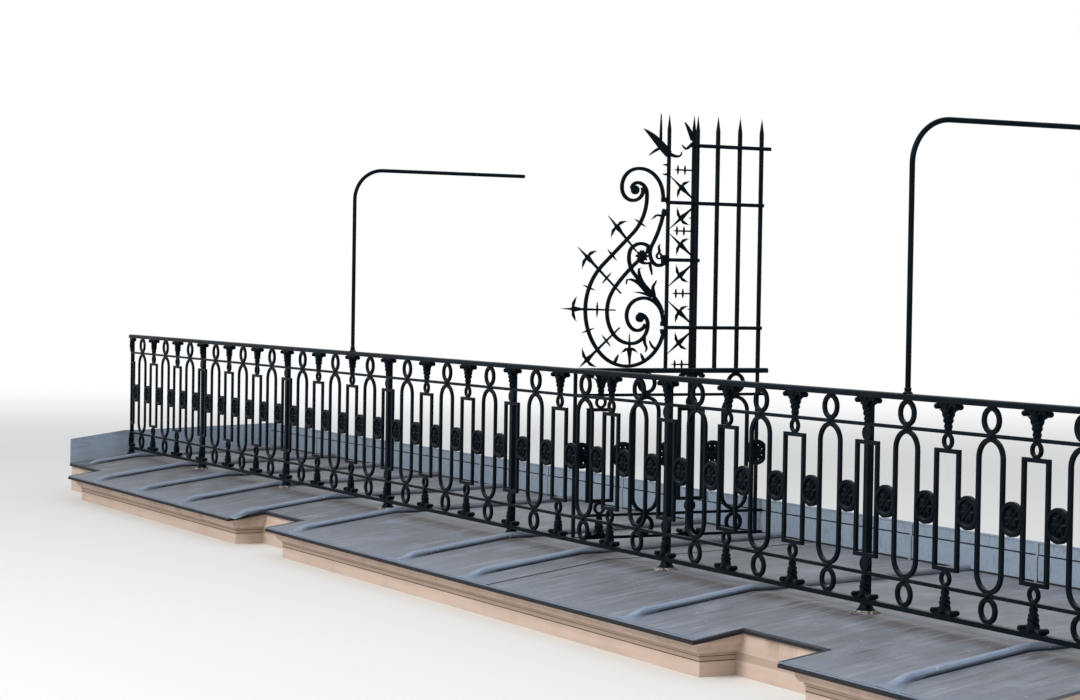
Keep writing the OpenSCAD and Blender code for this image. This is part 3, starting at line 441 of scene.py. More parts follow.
def cap(bm, row, middle=None):
    """Closes a ring with a fan round its middle."""
    centre = bm.verts.new(middle or sum((vertex.co for vertex in row), Vector()) / len(row))
    for i, vertex in enumerate(row):
        bm.faces.new((vertex, row[(i + 1) % len(row)], centre))


def solid(bm, rings, material=0):
    """Closed skin over rings, with both its ends capped; gives its faces a material."""
    before = len(bm.faces)
    rows = skin(bm, rings)
    cap(bm, rows[0])
    cap(bm, rows[-1])
    bm.faces.ensure_lookup_table()
    for face in bm.faces[before:]:
        face.material_index = material


def leaf(bm, rows, back):
    """Leaf with a thickness: rows of points over its face, and the way to its back."""
    grid = skin(bm, rows, closed=False)
    rim = grid[0] + [row[-1] for row in grid[1:]] + grid[-1][-2::-1] + [row[0] for row in grid[-2:0:-1]]
    behind = [bm.verts.new(vertex.co + back) for vertex in rim]
    join(bm, rim, behind)
    cap(bm, behind)


def tube(bm, points, radii, sides=6, material=0):
    """Round bar along points, with a radius at each, closed at both ends."""
    rings, side = [], None
    for i, point in enumerate(points):
        ahead = (points[min(i + 1, len(points) - 1)] - points[max(i - 1, 0)]).normalized()
        if side is None:
            side = ahead.orthogonal().normalized()
        side = (side - ahead * side.dot(ahead)).normalized()
        other = ahead.cross(side)
        rings.append([point + (side * c + other * s) * radii[i] for c, s in circle(sides)])
    solid(bm, rings, material)


def smooth(points, steps):
    """Points of a soft curve through the given ones."""
    result = []
    for i in range(len(points) - 1):
        before, start = points[max(i - 1, 0)], points[i]
        end, after = points[i + 1], points[min(i + 2, len(points) - 1)]
        for k in range(steps):
            t = k / steps
            result.append(0.5 * (
                2 * start + (end - before) * t + (2 * before - 5 * start + 4 * end - after) * t ** 2
                + (3 * start - before - 3 * end + after) * t ** 3))
    return result + [points[-1]]


def dome(bm, middle, out, radius, height, sides=10, steps=3):
    """Low dome on an upright face; out is the way that the face looks."""
    across, up = Vector((abs(out.y), abs(out.x), 0)), Vector((0, 0, 1))
    rings = []
    for j in range(steps + 1):
        turn = math.pi / 2 * j / (steps + 1)
        rings.append([middle + (across * c + up * s) * radius * math.cos(turn) + out * height * math.sin(turn)
                      for c, s in circle(sides)])
    rows = skin(bm, rings)
    cap(bm, rows[0], middle)
    cap(bm, rows[-1], middle + out * height)


def repeat(pattern, places, bm=None):
    """Copies of a pattern, one for each matrix in places, in a mesh of their own or added to one."""
    mesh = bpy.data.meshes.new("pattern")
    pattern.to_mesh(mesh)
    pattern.free()
    if bm is None:
        bm = bmesh.new()
    for matrix in places:
        before = len(bm.verts)
        bm.from_mesh(mesh)
        bm.verts.ensure_lookup_table()
        bmesh.ops.transform(bm, matrix=matrix, verts=bm.verts[before:])
    bpy.data.meshes.remove(mesh)
    return bm


def piece(name, bm, crease=40, materials=("iron_brushed_paint",)):
    """Makes one object that rides on the balcony, with its faces turned outward and its creases kept."""
    bmesh.ops.recalc_face_normals(bm, faces=bm.faces[:])
    mesh = bpy.data.meshes.new(name)
    bm.to_mesh(mesh)
    bm.free()
    for material in materials:
        mesh.materials.append(bpy.data.materials[material])
    mesh.shade_smooth()
    mesh.set_sharp_from_angle(angle=math.radians(crease))
    obj = bpy.data.objects.new(name, mesh)
    bpy.context.scene.collection.objects.link(obj)
    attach(obj, "root")


def turned(point, scale_z=1, turn=0):
    """Matrix that stands a pattern at a point, upside down where scale_z is -1."""
    return Matrix.Translation(point) @ Matrix.Rotation(turn, 4, "Z") @ Matrix.Diagonal((1, 1, scale_z, 1))


# Castings

# Where the railing's and the divider's frame figures stand, and how they are turned
FIGURES = [(n * PITCH, 0.0, 0.0) for n in range(2, BAY * BAYS + 1, 2)]
FIGURES.append((DIVIDER_X, DIVIDER_FIRST, math.pi / 2))
SHAFT_CORE = 0.015
SHAFT_SWELL = 0.005
# Height of a shaft, and how far its leaves reach
UPPER_SHAFT = (UNDER_HANDRAIL - 0.012 - UPPER_RAIL[1], 0.074)
LOWER_SHAFT = (LOWER_RAIL[0] - BOTTOM_RAIL_TOP - 0.012, 0.068)
# Middle of a volute's eye from the capital's middle, and half of the capital's thickness
EYE_X, EYE_Z = 0.0655, -0.015
CAPITAL_DEPTH = 0.017
# Half a side leaf of a capital, from the shaft to under the volute, outward and below the handrail
SIDE_LEAF = ((0.0185, -0.076), (0.0215, -0.060), (0.0265, -0.046), (0.0355, -0.0345), (0.047, -0.0285),
             (0.0585, -0.0295))
# Start, length, width and crest of a rosette's petal without its own sizes, and the height of its base
SMALL_LEAF = (0.009, 0.022, 0.009, 0.0145)
PETAL_BASE = 0.0085
# Radius and height of a hoop foot's rings, as a share of the hoop's radius and in metres
HOOP_FOOT = ((1.75, 0.0), (1.8, 0.003), (1.6, 0.006), (1.25, 0.009), (1.2, 0.016), (1.32, 0.02), (1.3, 0.024),
             (1.02, 0.027))


def at_figures(z, scale_z):
    """Matrices that stand a pattern at each frame figure, upside down where scale_z is -1."""
    return [turned(at(x, y, z), scale_z, turn) for x, y, turn in FIGURES]


def core_radius(z, height):
    bulge = 0.62 * height
    rise = math.sqrt(max(bulge ** 2 - (z - height / 2) ** 2, 0))
    return max(SHAFT_CORE, SHAFT_CORE + SHAFT_SWELL - bulge + rise)


def leafy_shaft(height, reach):
    """Four leaves wound round a shaft, from its narrow end to its capital."""
    s = props("casting")
    bm = bmesh.new()
    around, along, leaves, notches = 28, 30, 4, 9
    rings = []
    for j in range(along + 1):
        t = j / along
        z = 0.002 + (reach - 0.002) * t
        notch = 0.8 + 0.2 * math.cos(2 * math.pi * notches * t)
        ring = []
        for i in range(around):
            angle = 2 * math.pi * i / around
            ridge = math.cos(leaves * (angle - s.leaf_twist * t))
            lift = (0.5 + 0.5 * ridge) ** 1.3 * notch * s.leaf_rise * (0.85 + 1.1 * t ** 4)
            r = core_radius(z, height) + lift + 0.0004
            ring.append(Vector((r * math.cos(angle), r * math.sin(angle), z)))
        rings.append(ring)
    solid(bm, rings)
    return bm


class BALCONY_OT_shaft_leaves(bpy.types.Operator):
    """Winds cast leaves round the shafts above and below the frame figures"""
    bl_idname = "balcony.shaft_leaves"
    bl_label = "Shaft leaves"

    def execute(self, context):
        bm = repeat(leafy_shaft(*UPPER_SHAFT), at_figures(UPPER_RAIL[1], 1))
        repeat(leafy_shaft(*LOWER_SHAFT), at_figures(LOWER_RAIL[0], -1), bm)
        piece("shaft_leaves", bm, 50)
        return {"FINISHED"}


def capital_relief(side_leaves):
    """Volutes and a leaf on both faces of a capital, and its side leaves; the origin is under the handrail."""
    bm = bmesh.new()
    for face in (-1, 1):
        out = Vector((0, face, 0))
        for side in (-1, 1):
            eye = Vector((side * EYE_X, face * CAPITAL_DEPTH, EYE_Z))
            middle = eye + out * 0.0035
            points, radii = [], []
            for i in range(19):
                t = i / 18
                angle = math.pi * (0.5 + 3.2 * t)
                r = 0.0102 * (1 - 0.78 * t)
                points.append(middle + Vector((-side * r * math.cos(angle), 0, r * math.sin(angle))))
                radii.append(0.0022 * (1 - 0.3 * t))
            tube(bm, points, radii, 5)
            dome(bm, middle, out, 0.0062, 0.0062)
            dome(bm, eye - out * 0.001, out, 0.0124, 0.0066, 16, 4)

        def on_leaf(t, u):
            half = 0.019 * math.sin(math.pi * (0.18 + 0.68 * t)) * (1 + 0.16 * math.cos(5 * math.pi * t))
            lift = 0.0085 * (1 - u * u) * (0.35 + 0.65 * t) + 0.009 * t ** 3 - 0.0022 * (abs(u) < 0.1)
            return Vector((u * half, face * (CAPITAL_DEPTH + lift - 0.0005), -0.05 + 0.042 * t))

        leaf(bm, rows_of(on_leaf, 8, 6), Vector((0, -0.004 * face, 0)))
    for side in side_leaves:
        side_leaf(bm, side)
    return bm


def side_leaf(bm, side):
    """Leaf that rises from the shaft and turns out under a volute."""
    way = smooth([Vector((side * x, 0, z)) for x, z in SIDE_LEAF], 3)
    across = Vector((0, 1, 0))
    rings = []
    for i, point in enumerate(way):
        t = i / (len(way) - 1)
        ahead = (way[min(i + 1, len(way) - 1)] - way[max(i - 1, 0)]).normalized()
        lobes = 1 + 0.14 * math.cos(6 * math.pi * t)
        broad = 0.0145 * math.sin(math.pi * (0.22 + 0.66 * t)) * lobes
        deep = 0.0036 * (1 - 0.45 * t)
        rings.append([point + across * broad * c + ahead.cross(across) * deep * s for c, s in circle(10)])
    solid(bm, rings)


class BALCONY_OT_capitals(bpy.types.Operator):
    """Adds the spirals and the leaf to the capitals and to the feet of the frame figures"""
    bl_idname = "balcony.capitals"
    bl_label = "Capitals"

    def execute(self, context):
        piece("capital_leaves", repeat(capital_relief((-1, 1)), at_figures(UNDER_HANDRAIL, 1)), 50)
        piece("foot_leaves", repeat(capital_relief(()), at_figures(BOTTOM_RAIL_TOP, -1)), 50)
        return {"FINISHED"}


def rosette_relief():
    """Petals, leaves and seeds of a rosette; it lies in X and Z and faces -Y from the figures' back."""
    sizes = props("casting")
    petal = (0.0095, sizes.petal_length, sizes.petal_width, 0.0178)
    bm = bmesh.new()
    for k, (c, s) in enumerate(circle(16)):
        ahead, aside = Vector((c, 0, s)), Vector((-s, 0, c))
        start, length, width, crest = SMALL_LEAF if k % 2 else petal
        curl = 0 if k % 2 else 0.0022

        def on_petal(t, u):
            half = width / 2 * math.sin(math.pi * (0.1 + 0.84 * t)) ** 0.75
            rise = (1 - abs(u) ** 3) * math.sin(math.pi * (0.2 + 0.66 * t)) ** 0.5
            groove = 0.0016 * (abs(u) < 0.1) * (t < 0.85)
            out = PETAL_BASE + (crest - PETAL_BASE) * rise - groove + curl * t ** 3
            return ahead * (start + length * t) + aside * (half * u) + Vector((0, -out, 0))

        leaf(bm, rows_of(on_petal, 7, 6), Vector((0, 0.003, 0)))
    for k in range(7):
        angle = math.pi * k / 3
        r = 0.0058 if k else 0
        seed = Vector((r * math.cos(angle), -0.0185, r * math.sin(angle)))
        dome(bm, seed, Vector((0, -1, 0)), 0.0026, 0.0035, 7, 2)
    return bm


class BALCONY_OT_rosettes(bpy.types.Operator):
    """Lays petals, small leaves and seeds over the rosettes"""
    bl_idname = "balcony.rosettes"
    bl_label = "Rosettes"

    def execute(self, context):
        back = 0.008
        places = [turned(at((n + 0.5) * PITCH, back, ROSETTE_HEIGHT)) for n in range(BAY * BAYS)]
        for y in (0.05875, *(DIVIDER_FIRST + (k + 0.5) * PITCH for k in range(4))):
            places.append(turned(at(DIVIDER_X - back, y, ROSETTE_HEIGHT), 1, math.pi / 2))
        piece("rosette_petals", repeat(rosette_relief(), places), 60)
        return {"FINISHED"}


class BALCONY_OT_hoop_feet(bpy.types.Operator):
    """Turns a small foot for each hoop where it stands on the handrail"""
    bl_idname = "balcony.hoop_feet"
    bl_label = "Hoop feet"

    def execute(self, context):
        bm = bmesh.new()
        for name in ("hoop_left", "hoop_right"):
            low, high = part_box(name)
            radius = (high.x - low.x) / 2
            middle = Vector((low.x + radius, (HAND_LOW.y + HAND_HIGH.y) / 2, HAND_HIGH.z))
            solid(bm, [[middle + Vector((radius * r * c, radius * r * s, z)) for c, s in circle(24)]
                       for r, z in HOOP_FOOT])
        piece("hoop_feet", bm)
        return {"FINISHED"}


class BALCONY_OT_rail_collars(bpy.types.Operator):
    """Adds the small cast collars where the figures meet the two thin rails"""
    bl_idname = "balcony.rail_collars"
    bl_label = "Rail collars"

    def execute(self, context):
        pattern = bmesh.new()
        rings = []
        for x, grow in ((-0.017, 0.001), (-0.013, 0.0034), (0.013, 0.0034), (0.017, 0.001)):
            h = 0.008 + grow
            c = h - 0.003
            rings.append([Vector((x, a, b)) for a, b in (
                (-c, -h), (c, -h), (h, -c), (h, c), (c, h), (-c, h), (-h, c), (-h, -c))])
        solid(pattern, rings)
        places = []
        for rail in (UPPER_RAIL, LOWER_RAIL):
            z = sum(rail) / 2
            places += [turned(at(n * PITCH, 0, z)) for n in range(1, BAY * BAYS) if n % BAY]
            places += [turned(at(DIVIDER_X, DIVIDER_FIRST + k * PITCH, z), 1, math.pi / 2) for k in (0, 1, 3)]
        piece("rail_collars", repeat(pattern, places))
        return {"FINISHED"}


# Grille, in millimetres behind the front bar and above the handrail

# Darts of the scroll and of the bay beside it, as root, tip, reach of the arms and length of the point
DARTS = [
    ((-200, 650), (-385, 846), 62, 79), ((-295, 415), (-573, 668), 62, 79),
    ((-328, 322), (-678, 327), 62, 79), ((-300, 225), (-551, 4), 62, 58), ((-232, 10), (-237, 192), 48, 84)]
DARTS += [((153.75, h + 30 * s), (8.25, h + 150 * s), 56, 94.3) for h in (930, 608, 228) for s in (-1, 1)]
# Faces of a dart's head, by its corners: 0 to 12 are its outline, then come core, spine, stem and two arms
DART_FACES = (
    (0, 1, 15), (1, 13, 15), (1, 2, 16), (2, 3, 16), (3, 4, 16), (1, 16, 13), (16, 4, 13), (4, 5, 13),
    (5, 14, 13), (5, 6, 14), (6, 7, 14), (7, 13, 14), (7, 8, 13), (8, 17, 13), (8, 9, 17), (9, 10, 17),
    (10, 11, 17), (11, 13, 17), (11, 12, 15), (11, 15, 13), (12, 0, 15), tuple(range(13)))
# Half the thickness of a dart's head at its outline, and how far its core rises from there, in metres
DART_FLAT, DART_RISE = 0.0044, 0.0041
# Kinks of a dart's arm: along from the head, and as a share of the arm's reach
DART_ARM = ((-8, 0), (-2, 0.25), (1, 0.48), (-5, 0.7), (-14, 0.88), (-27, 1.12))
# Ends of the scroll's volutes, as place and radius
DISCS = [((-215, 993), 25), ((-171, 281), 25)]
ROSE = (-164, 626)
# Number, length, width and lift of the petals in each layer of the rose
ROSE_LAYERS = ((8, 31, 17, 17.2), (5, 18, 13, 20.5))
# Bars of the scroll: where each starts, and its heading, in degrees; then its straight and bent lengths, as
# radius and turn, or 0 and length
SCROLL_BARS = [
    ((-14, 210, -106.4), ((0, 30), (-238, 119), (-345, 91), (0, 255), (288, 50.5), (60, 87.3), (39, 82))),
    ((-29, 940, 100), ((0, 50), (150, 93.4), (104, 83.3), (70, 137.7), (43, 63.3))),
    ((-25, 892, -102), ((0, 24), (-595, 17.4), (0, 17), (82, 66.9), (51, 108.5))),
    ((-25, 310, 109), ((221, 30.2), (-1312, 7.7), (-131, 54.9), (-47, 27.5), (-84, 95.3))),
    ((-164, 617, -142.5), ((956, 14.3), (256, 9.1), (209, 58.9), (146.5, 64.1), (105, 91.4), (55.5, 86.6))),
    ((-20, 236, 87), ((197, 19), (125.5, 97.9), (98.5, 40.5), (91, 79.2), (55.5, 105.2)))]
TWIN_Y = DIVIDER_FIRST + 2 * PITCH
UPRIGHTS = [(y - FRONT_BAR_Y) / MM for y in (TWIN_Y + PITCH / 2, TWIN_Y + PITCH, WALK_DEPTH - 0.058)]
GRILLE_HEIGHT = 1430
SPEAR = 90
# Height of each crossbar, and where it starts and ends
CROSSBARS = [(1255, 154, 671), (930, 9, 628), (608, 9, 204), (228, 9, 628)]
# Width and thickness of the hammered scroll bars, uprights and crossbars
SCROLL_SIZE, UPRIGHT_SIZE, CROSSBAR_SIZE = (19.2, 18), (20.6, 20.6), (20.4, 32.6)
# Power that rounds a bar's section, from 0 for a square one to 1 for a round one, and the hammer's unevenness
ROUNDING, UNEVEN = 0.28, 0.4


def bar_path(start, route, step=7):
    """Places and headings along a bar of straight and bent lengths."""
    x, y, heading = start
    path = [start]
    for radius, run in route:
        length = abs(radius) * math.radians(run) if radius else run
        count = max(1, round(length / step))
        x0, y0, first = x, y, math.radians(heading)
        for i in range(1, count + 1):
            if radius:
                turn = first + math.copysign(math.radians(run) * i / count, radius)
                x = x0 + radius * (math.sin(turn) - math.sin(first))
                y = y0 - radius * (math.cos(turn) - math.cos(first))
            else:
                turn = first
                x, y = x0 + run * i / count * math.cos(first), y0 + run * i / count * math.sin(first)
            heading = math.degrees(turn)
            path.append((x, y, heading))
    return path


def on_grille(u, v, out):
    """Point on the divider's plane, standing out from it toward the right."""
    return at(DIVIDER_X + out, FRONT_BAR_Y + u * MM, RAIL_HEIGHT + v * MM)


def along_dart(dart):
    """Length of a dart, and the function that gives a place along it, aside from it and out from the grille."""
    root, tip = Vector(dart[0]), Vector(dart[1])
    length = (tip - root).length
    ahead = (tip - root) / length
    aside = Vector((-ahead.y, ahead.x))

    def place(a, b, out=0):
        spot = root + ahead * a + aside * b
        return on_grille(spot.x, spot.y, out)

    return length, place


class BALCONY_OT_grille_forgings(bpy.types.Operator):
    """Ridges the darts' heads, domes the scroll's ends and curls the petals of its rose"""
    bl_idname = "balcony.grille_forgings"
    bl_label = "Grille forgings"

    def execute(self, context):
        bm = bmesh.new()
        for face in (-1, 1):
            for dart in DARTS:
                self.dart_head(bm, dart, face)
            for (u, v), r in DISCS:
                dome(bm, on_grille(u, v, face * 0.0072), Vector((face, 0, 0)), r * MM * 0.97, 0.0055, 24, 4)
            self.rose(bm, face)
        for dart in DARTS:
            self.thorns(bm, dart)
        piece("grille_forgings", bm, 35)
        return {"FINISHED"}

    def dart_head(self, bm, dart, face):
        """Ridged face of a dart's head and of the roots of its arms."""
        arm, point = dart[2:]
        length, place = along_dart(dart)
        n = length - point
        half = [(n - 42, 6.5), (n - 9, 14.5), (n - 19, arm - 8.5), (n - 14, arm - 0.8), (n - 0.5, 19.5),
                (n + 8, 6.6)]
        outline = [(a, -b, 0) for a, b in half] + [(length - 1.5, 0, 0)] + [(a, b, 0) for a, b in half[::-1]]
        ridges = [(n - 3, 0, 1), (n + point * 0.45, 0, 0.75), (n - 30, 0, 0.6)]
        ridges += [(n - 12, side * arm * 0.62, 0.7) for side in (-1, 1)]
        corners = [bm.verts.new(place(a, b, face * (DART_FLAT + DART_RISE * rise)))
                   for a, b, rise in outline + ridges]
        for face_corners in DART_FACES:
            bm.faces.new([corners[i] for i in face_corners])

    def thorns(self, bm, dart):
        """The dart's two arms, forged to a kink and drawn out to a point."""
        arm, point = dart[2:]
        length, place = along_dart(dart)
        for side in (-1, 1):
            points = smooth([place(length - point + a, side * arm * b) for a, b in DART_ARM], 3)
            last = len(points) - 1
            tube(bm, points, [(5.8 - 4.4 * (i / last) ** 1.4) * MM for i in range(last + 1)], 7)

    def rose(self, bm, face):
        """Two layers of curled petals round a seed."""
        middle = Vector(ROSE)
        for layer, (count, length, width, out) in enumerate(ROSE_LAYERS):
            for c, s in circle(2 * count)[layer::2]:
                ahead, aside = Vector((c, s)), Vector((-s, c))

                def on_petal(t, u):
                    half = width / 2 * math.sin(math.pi * (0.14 + 0.78 * t)) ** 0.8
                    spot = middle + ahead * (3 + length * t) + aside * (half * u)
                    lift = out + 3.2 * (1 - u * u) * math.sin(math.pi * t) + 2.5 * t ** 2 * layer - 2 * u * u
                    return on_grille(spot.x, spot.y, face * lift * MM)

                leaf(bm, rows_of(on_petal, 6, 4), Vector((-0.003 * face, 0, 0)))
        dome(bm, on_grille(*ROSE, face * 0.0195), Vector((face, 0, 0)), 0.0075, 0.0065, 12, 3)


class BALCONY_OT_hammered_bars(bpy.types.Operator):
    """Rounds the grille's bars with the hammer and swells the crossbars where they are punched"""
    bl_idname = "balcony.hammered_bars"
    bl_label = "Hammered bars"

    def execute(self, context):
        bm = bmesh.new()
        for start, route in SCROLL_BARS:
            self.bar(bm, bar_path(start, route), SCROLL_SIZE)
        for u in UPRIGHTS:
            self.bar(bm, bar_path((u, 0.5, 90), ((0, GRILLE_HEIGHT - 1),), 12), UPRIGHT_SIZE, SPEAR)
        for v, left, right in CROSSBARS:
            self.bar(bm, bar_path((left, v, 0), ((0, right - left),), 5), CROSSBAR_SIZE, 0, UPRIGHTS)
        piece("hammered_bars", bm, 50)
        return {"FINISHED"}

    def bar(self, bm, path, size, point=0, punched=()):
        """Skin along a path, drawn out to a point at its end or swollen round the holes."""
        end = Vector(path[-1][:2])
        rings = []
        for u, v, heading in path:
            turn = math.radians(heading)
            draw = min(1, ((end - Vector((u, v))).length + 1.5) / point) if point else 1
            a = (size[0] / 2 + UNEVEN * noise.noise(Vector((u, v, 0)) / 24)) * draw
            b = (size[1] / 2 + UNEVEN * noise.noise(Vector((u, v, 90)) / 24)) * draw
            b += sum(5.5 * math.exp(-((u - hole) / 15) ** 2) for hole in punched)
            ring = []
            for c, s in circle(16):
                reach = math.copysign(abs(c) ** ROUNDING, c) * a
                out = math.copysign(abs(s) ** ROUNDING, s) * b
                ring.append(on_grille(u - math.sin(turn) * reach, v + math.cos(turn) * reach, out * MM))
            rings.append(ring)
        solid(bm, rings)


# Zinc work

# Place of the flat lock seam along the front
FLAT_SEAM = 8.255
# Start, end, height and material of a seam's fold and of the dark line of painted shade and dirt beside it, in
# the covering and the flashing
SEAM_PARTS = ((0, 0.024, 0.0032, 0), (0.024, 0.0305, 0.0012, 1))
FOLD_PARTS = ((0, 0.020, 0.0042, 2), (0.020, 0.0255, 0.0012, 1))
# Foot, top and distance from the flashing's back of its lower and its upper face
FLASHING_FACES = ((0.002, 0.130, 0.012), (0.130, 0.199, 0.006))
# Strips along the flashing: distance before its back, height of the middle, height, thickness and material; the
# dark ones paint shade, with dirt, at its step and its foot
FLASHING_STRIPS = (
    (0.0063, 0.196, 0.010, 0.004, 2), (0.0063, 0.1345, 0.0075, 0.0012, 1), (0.0123, 0.006, 0.010, 0.0015, 1))
# Radius and height of the rings of a post's bell and of the lead round it
BELL = ((0.0225, 0.064), (0.0262, 0.058), (0.0252, 0.052), (0.0275, 0.04), (0.034, 0.025), (0.0425, 0.0135),
        (0.0465, 0.009), (0.0462, 0.0015))
LEAD = ((0.041, 0.013), (0.0475, 0.0135), (0.0525, 0.0085), (0.0585, 0.0045), (0.066, 0.0012))


def edge_path():
    """Plan of the drip edge, from the left end to the right, as distances along and behind the front."""
    back, front = -SET_BACK - DRIP, -LEDGE - DRIP
    path = [(0.0, back)]
    for left, right in CORNICES:
        path += [(left - DRIP, back), (left - DRIP, front)]
        path += [(right + DRIP, front), (right + DRIP, back)] if right < DECK_END else [(right, front)]
    return path


class BALCONY_OT_drip_welt(bpy.types.Operator):
    """Folds a welt along the top of the drip edge and lays dark tubes of painted shade along its foot"""
    bl_idname = "balcony.drip_welt"
    bl_label = "Drip welt"

    def execute(self, context):
        r = props("zinc").welt
        bm = bmesh.new()
        path = edge_path()
        steps = 6
        # The two lower tubes are dark and paint the shade under the fold of the drip edge
        for drop, size, material in ((0.0, r * 0.7, 0), (ZINC - 0.003, r, 1), (ZINC + 0.005, r, 1)):
            for (x0, y0), (x1, y1) in zip(path, path[1:]):
                plan = [(x0 + (x1 - x0) * i / steps, y0 + (y1 - y0) * i / steps) for i in range(steps + 1)]
                points = [at(x, y, surface(y) - drop) for x, y in plan]
                tube(bm, points, [size] * len(points), 8, material)
        piece("drip_welt", bm, 40, ["zinc_weathered_roll", "joint_dirt"])
        return {"FINISHED"}


class BALCONY_OT_cornice_grooves(bpy.types.Operator):
    """Draws two fine dark strips of painted shade as the grooves along the top of the cornices' fascia"""
    bl_idname = "balcony.cornice_grooves"
    bl_label = "Cornice grooves"

    def execute(self, context):
        bm = bmesh.new()
        for left, right in CORNICES:
            for out, z in CORNICE_GROOVES:
                low, high = z - GROOVE_HALF, z + GROOVE_HALF
                outer, inner = (self.path(left, right, out + step) for step in (0.0006, -0.001))
                solid(bm, [[at(*spot, low), at(*spot, high), at(*behind, high), at(*behind, low)]
                           for spot, behind in zip(outer, inner)])
        piece("cornice_grooves", bm, 40, ["groove_dirt"])
        return {"FINISHED"}

    def path(self, left, right, face):
        """Plan of a groove round a cornice, at a distance in front of the slab."""
        back, front, inset = -SET_BACK, -SET_BACK - face, CORNICE_OUT - face
        path = [(left + inset, back), (left + inset, front)]
        return path + ([(right - inset, front), (right - inset, back)] if right < DECK_END
                       else [(right - 0.0005, front)])


class BALCONY_OT_roll_noses(bpy.types.Operator):
    """Flattens the front end of each batten roll into a dressed nose"""
    bl_idname = "balcony.roll_noses"
    bl_label = "Roll noses"

    def execute(self, context):
        wide = props("zinc").nose
        bm = bmesh.new()
        for n in ROLL_FIGURES:
            x = n * PITCH
            front = LEDGE if any(a <= x <= b for a, b in CORNICES) else SET_BACK

            def on_nose(t, u):
                y = -front + 0.19 - 0.196 * t
                fall = min(1, max(0, (t - 0.28) / 0.72))
                ease = fall * fall * (3 - 2 * fall)
                ridge = 0.0212 * (1 + 1.1 * ease)
                half = ridge + (wide / 2 - ridge) * fall ** 1.4
                q = abs(u * half) / ridge
                round_top = math.sqrt(max(0, 1 - q ** 2.6))
                soft_top = math.exp(-2.2 * q * q)
                fan = 0.0034 * (1 - u ** 6) * min(1, 3 * fall)
                z = (0.0352 * (1 - ease) + 0.005 * ease) * (round_top * (1 - ease) + soft_top * ease) + fan
                return at(x + u * half, y, surface(y) + z + 0.0003)

            solid(bm, rows_of(on_nose, 18, 24))
        piece("roll_noses", bm, 60, ["zinc_weathered_roll"])
        return {"FINISHED"}


class BALCONY_OT_lock_seams(bpy.types.Operator):
    """Adds the flat lock seam in the covering and the folds and joints of the flashing, with dark lines of
    painted shade and dirt beside them
    """
    bl_idname = "balcony.lock_seams"
    bl_label = "Lock seams"

    def execute(self, context):
        bm = bmesh.new()
        self.flat_seam(bm, FLAT_SEAM)
        length = props("zinc").sheet_width
        for k in range(1, int(DECK_END / length) + 1):
            self.flashing_fold(bm, k * length)
        for before, middle, tall, thick, material in FLASHING_STRIPS:
            back = WALK_DEPTH - before
            low, high = WALK_RISE + middle - tall / 2, WALK_RISE + middle + tall / 2
            solid(bm, [[at(x, back, low), at(x, back - thick, low + 0.001), at(x, back - thick, high),
                        at(x, back, high)] for x in (0.007, DECK_END - 0.001)], material)
        piece("lock_seams", bm, 40, ["zinc_weathered_sheet", "joint_dirt", "zinc_weathered_upstand"])
        return {"FINISHED"}

    def flat_seam(self, bm, x):
        """Seam from the drip edge to the flashing, with painted shade and dirt along its open side."""
        stops = [-LEDGE - DRIP + 0.004, -LEVEL, LEVEL, WALK_DEPTH - 0.014]
        for left, right, tall, material in SEAM_PARTS:
            edges = ((left, 0), (left + 0.001, tall), (right - 0.001, tall), (right, 0))
            solid(bm, [[at(x + a, y, surface(y) + z) for a, z in edges] for y in stops], material)

    def flashing_fold(self, bm, x):
        """Upright fold between two sheets of the flashing, with painted shade and dirt beside it."""
        for left, right, proud, material in FOLD_PARTS:
            edges = ((left, 0), (left + 0.002, proud), (right - 0.002, proud), (right, 0))
            for low, high, before in FLASHING_FACES:
                solid(bm, [[at(x + a, WALK_DEPTH - before - out, WALK_RISE + z) for a, out in edges]
                           for z in (low, high)], material)


class BALCONY_OT_post_bells(bpy.types.Operator):
    """Turns the bell that the posts stand on"""
    bl_idname = "balcony.post_bells"
    bl_label = "Post bells"

    def execute(self, context):
        pattern = bmesh.new()
        solid(pattern, [[Vector((r * c, r * s, z)) for c, s in circle(28)]
                        for r, z in smooth([Vector(spot) for spot in BELL], 3)])
        places = [turned(at(bay * BAY * PITCH, POST_Y, 0)) for bay in range(1, BAYS + 1)]
        piece("post_bells", repeat(pattern, places))
        return {"FINISHED"}


class BALCONY_OT_lead_dressings(bpy.types.Operator):
    """Dresses lead round the feet of the posts"""
    bl_idname = "balcony.lead_dressings"
    bl_label = "Lead dressings"

    def execute(self, context):
        dressed_lead()
        bm = bmesh.new()
        for bay in range(1, BAYS + 1):
            rings = []
            for step, (r, z) in enumerate(LEAD):
                share = step / (len(LEAD) - 1)
                ring = []
                for c, s in circle(36):
                    way = Vector((c, s, bay * 3.7))
                    ragged = 1 + (0.2 * noise.noise(way * 1.6) + 0.08 * noise.noise(way * 4.1)) * share
                    bump = 0.003 * noise.noise(way * 5.3) * (1 - share)
                    y = POST_Y + r * ragged * s
                    x = bay * BAY * PITCH + r * ragged * c
                    ring.append(at(x, y, surface(y) + max(z + bump, 0.0004)))
                rings.append(ring)
            solid(bm, rings)
        piece("lead_dressings", bm, 60, ["lead_dressed"])
        return {"FINISHED"}


# Stage

# The photograph's camera: where it stands in the balcony's frame and how it is turned, for 1080 by 700 pixels
FRAME_W = 1080
FOCAL_PX = 2401.7
SENSOR = 36.0
CAMERA_AT = Vector((13.1947, -6.5497, 1.7182))
CAMERA_TURN = math.radians(27.656)
CAMERA_DOWN = math.radians(1.4355)
CAMERA_ROLL = math.radians(0.915)
# Place, aim and width of the key lamp
LAMP_AT = Vector((6, -15, 13))
LAMP_TOWARD = Vector((0, -0.5, 1.2))
LAMP_WIDTH = 9
# Distances over which the floor fades to white
FADE = (9.0, 26.0)


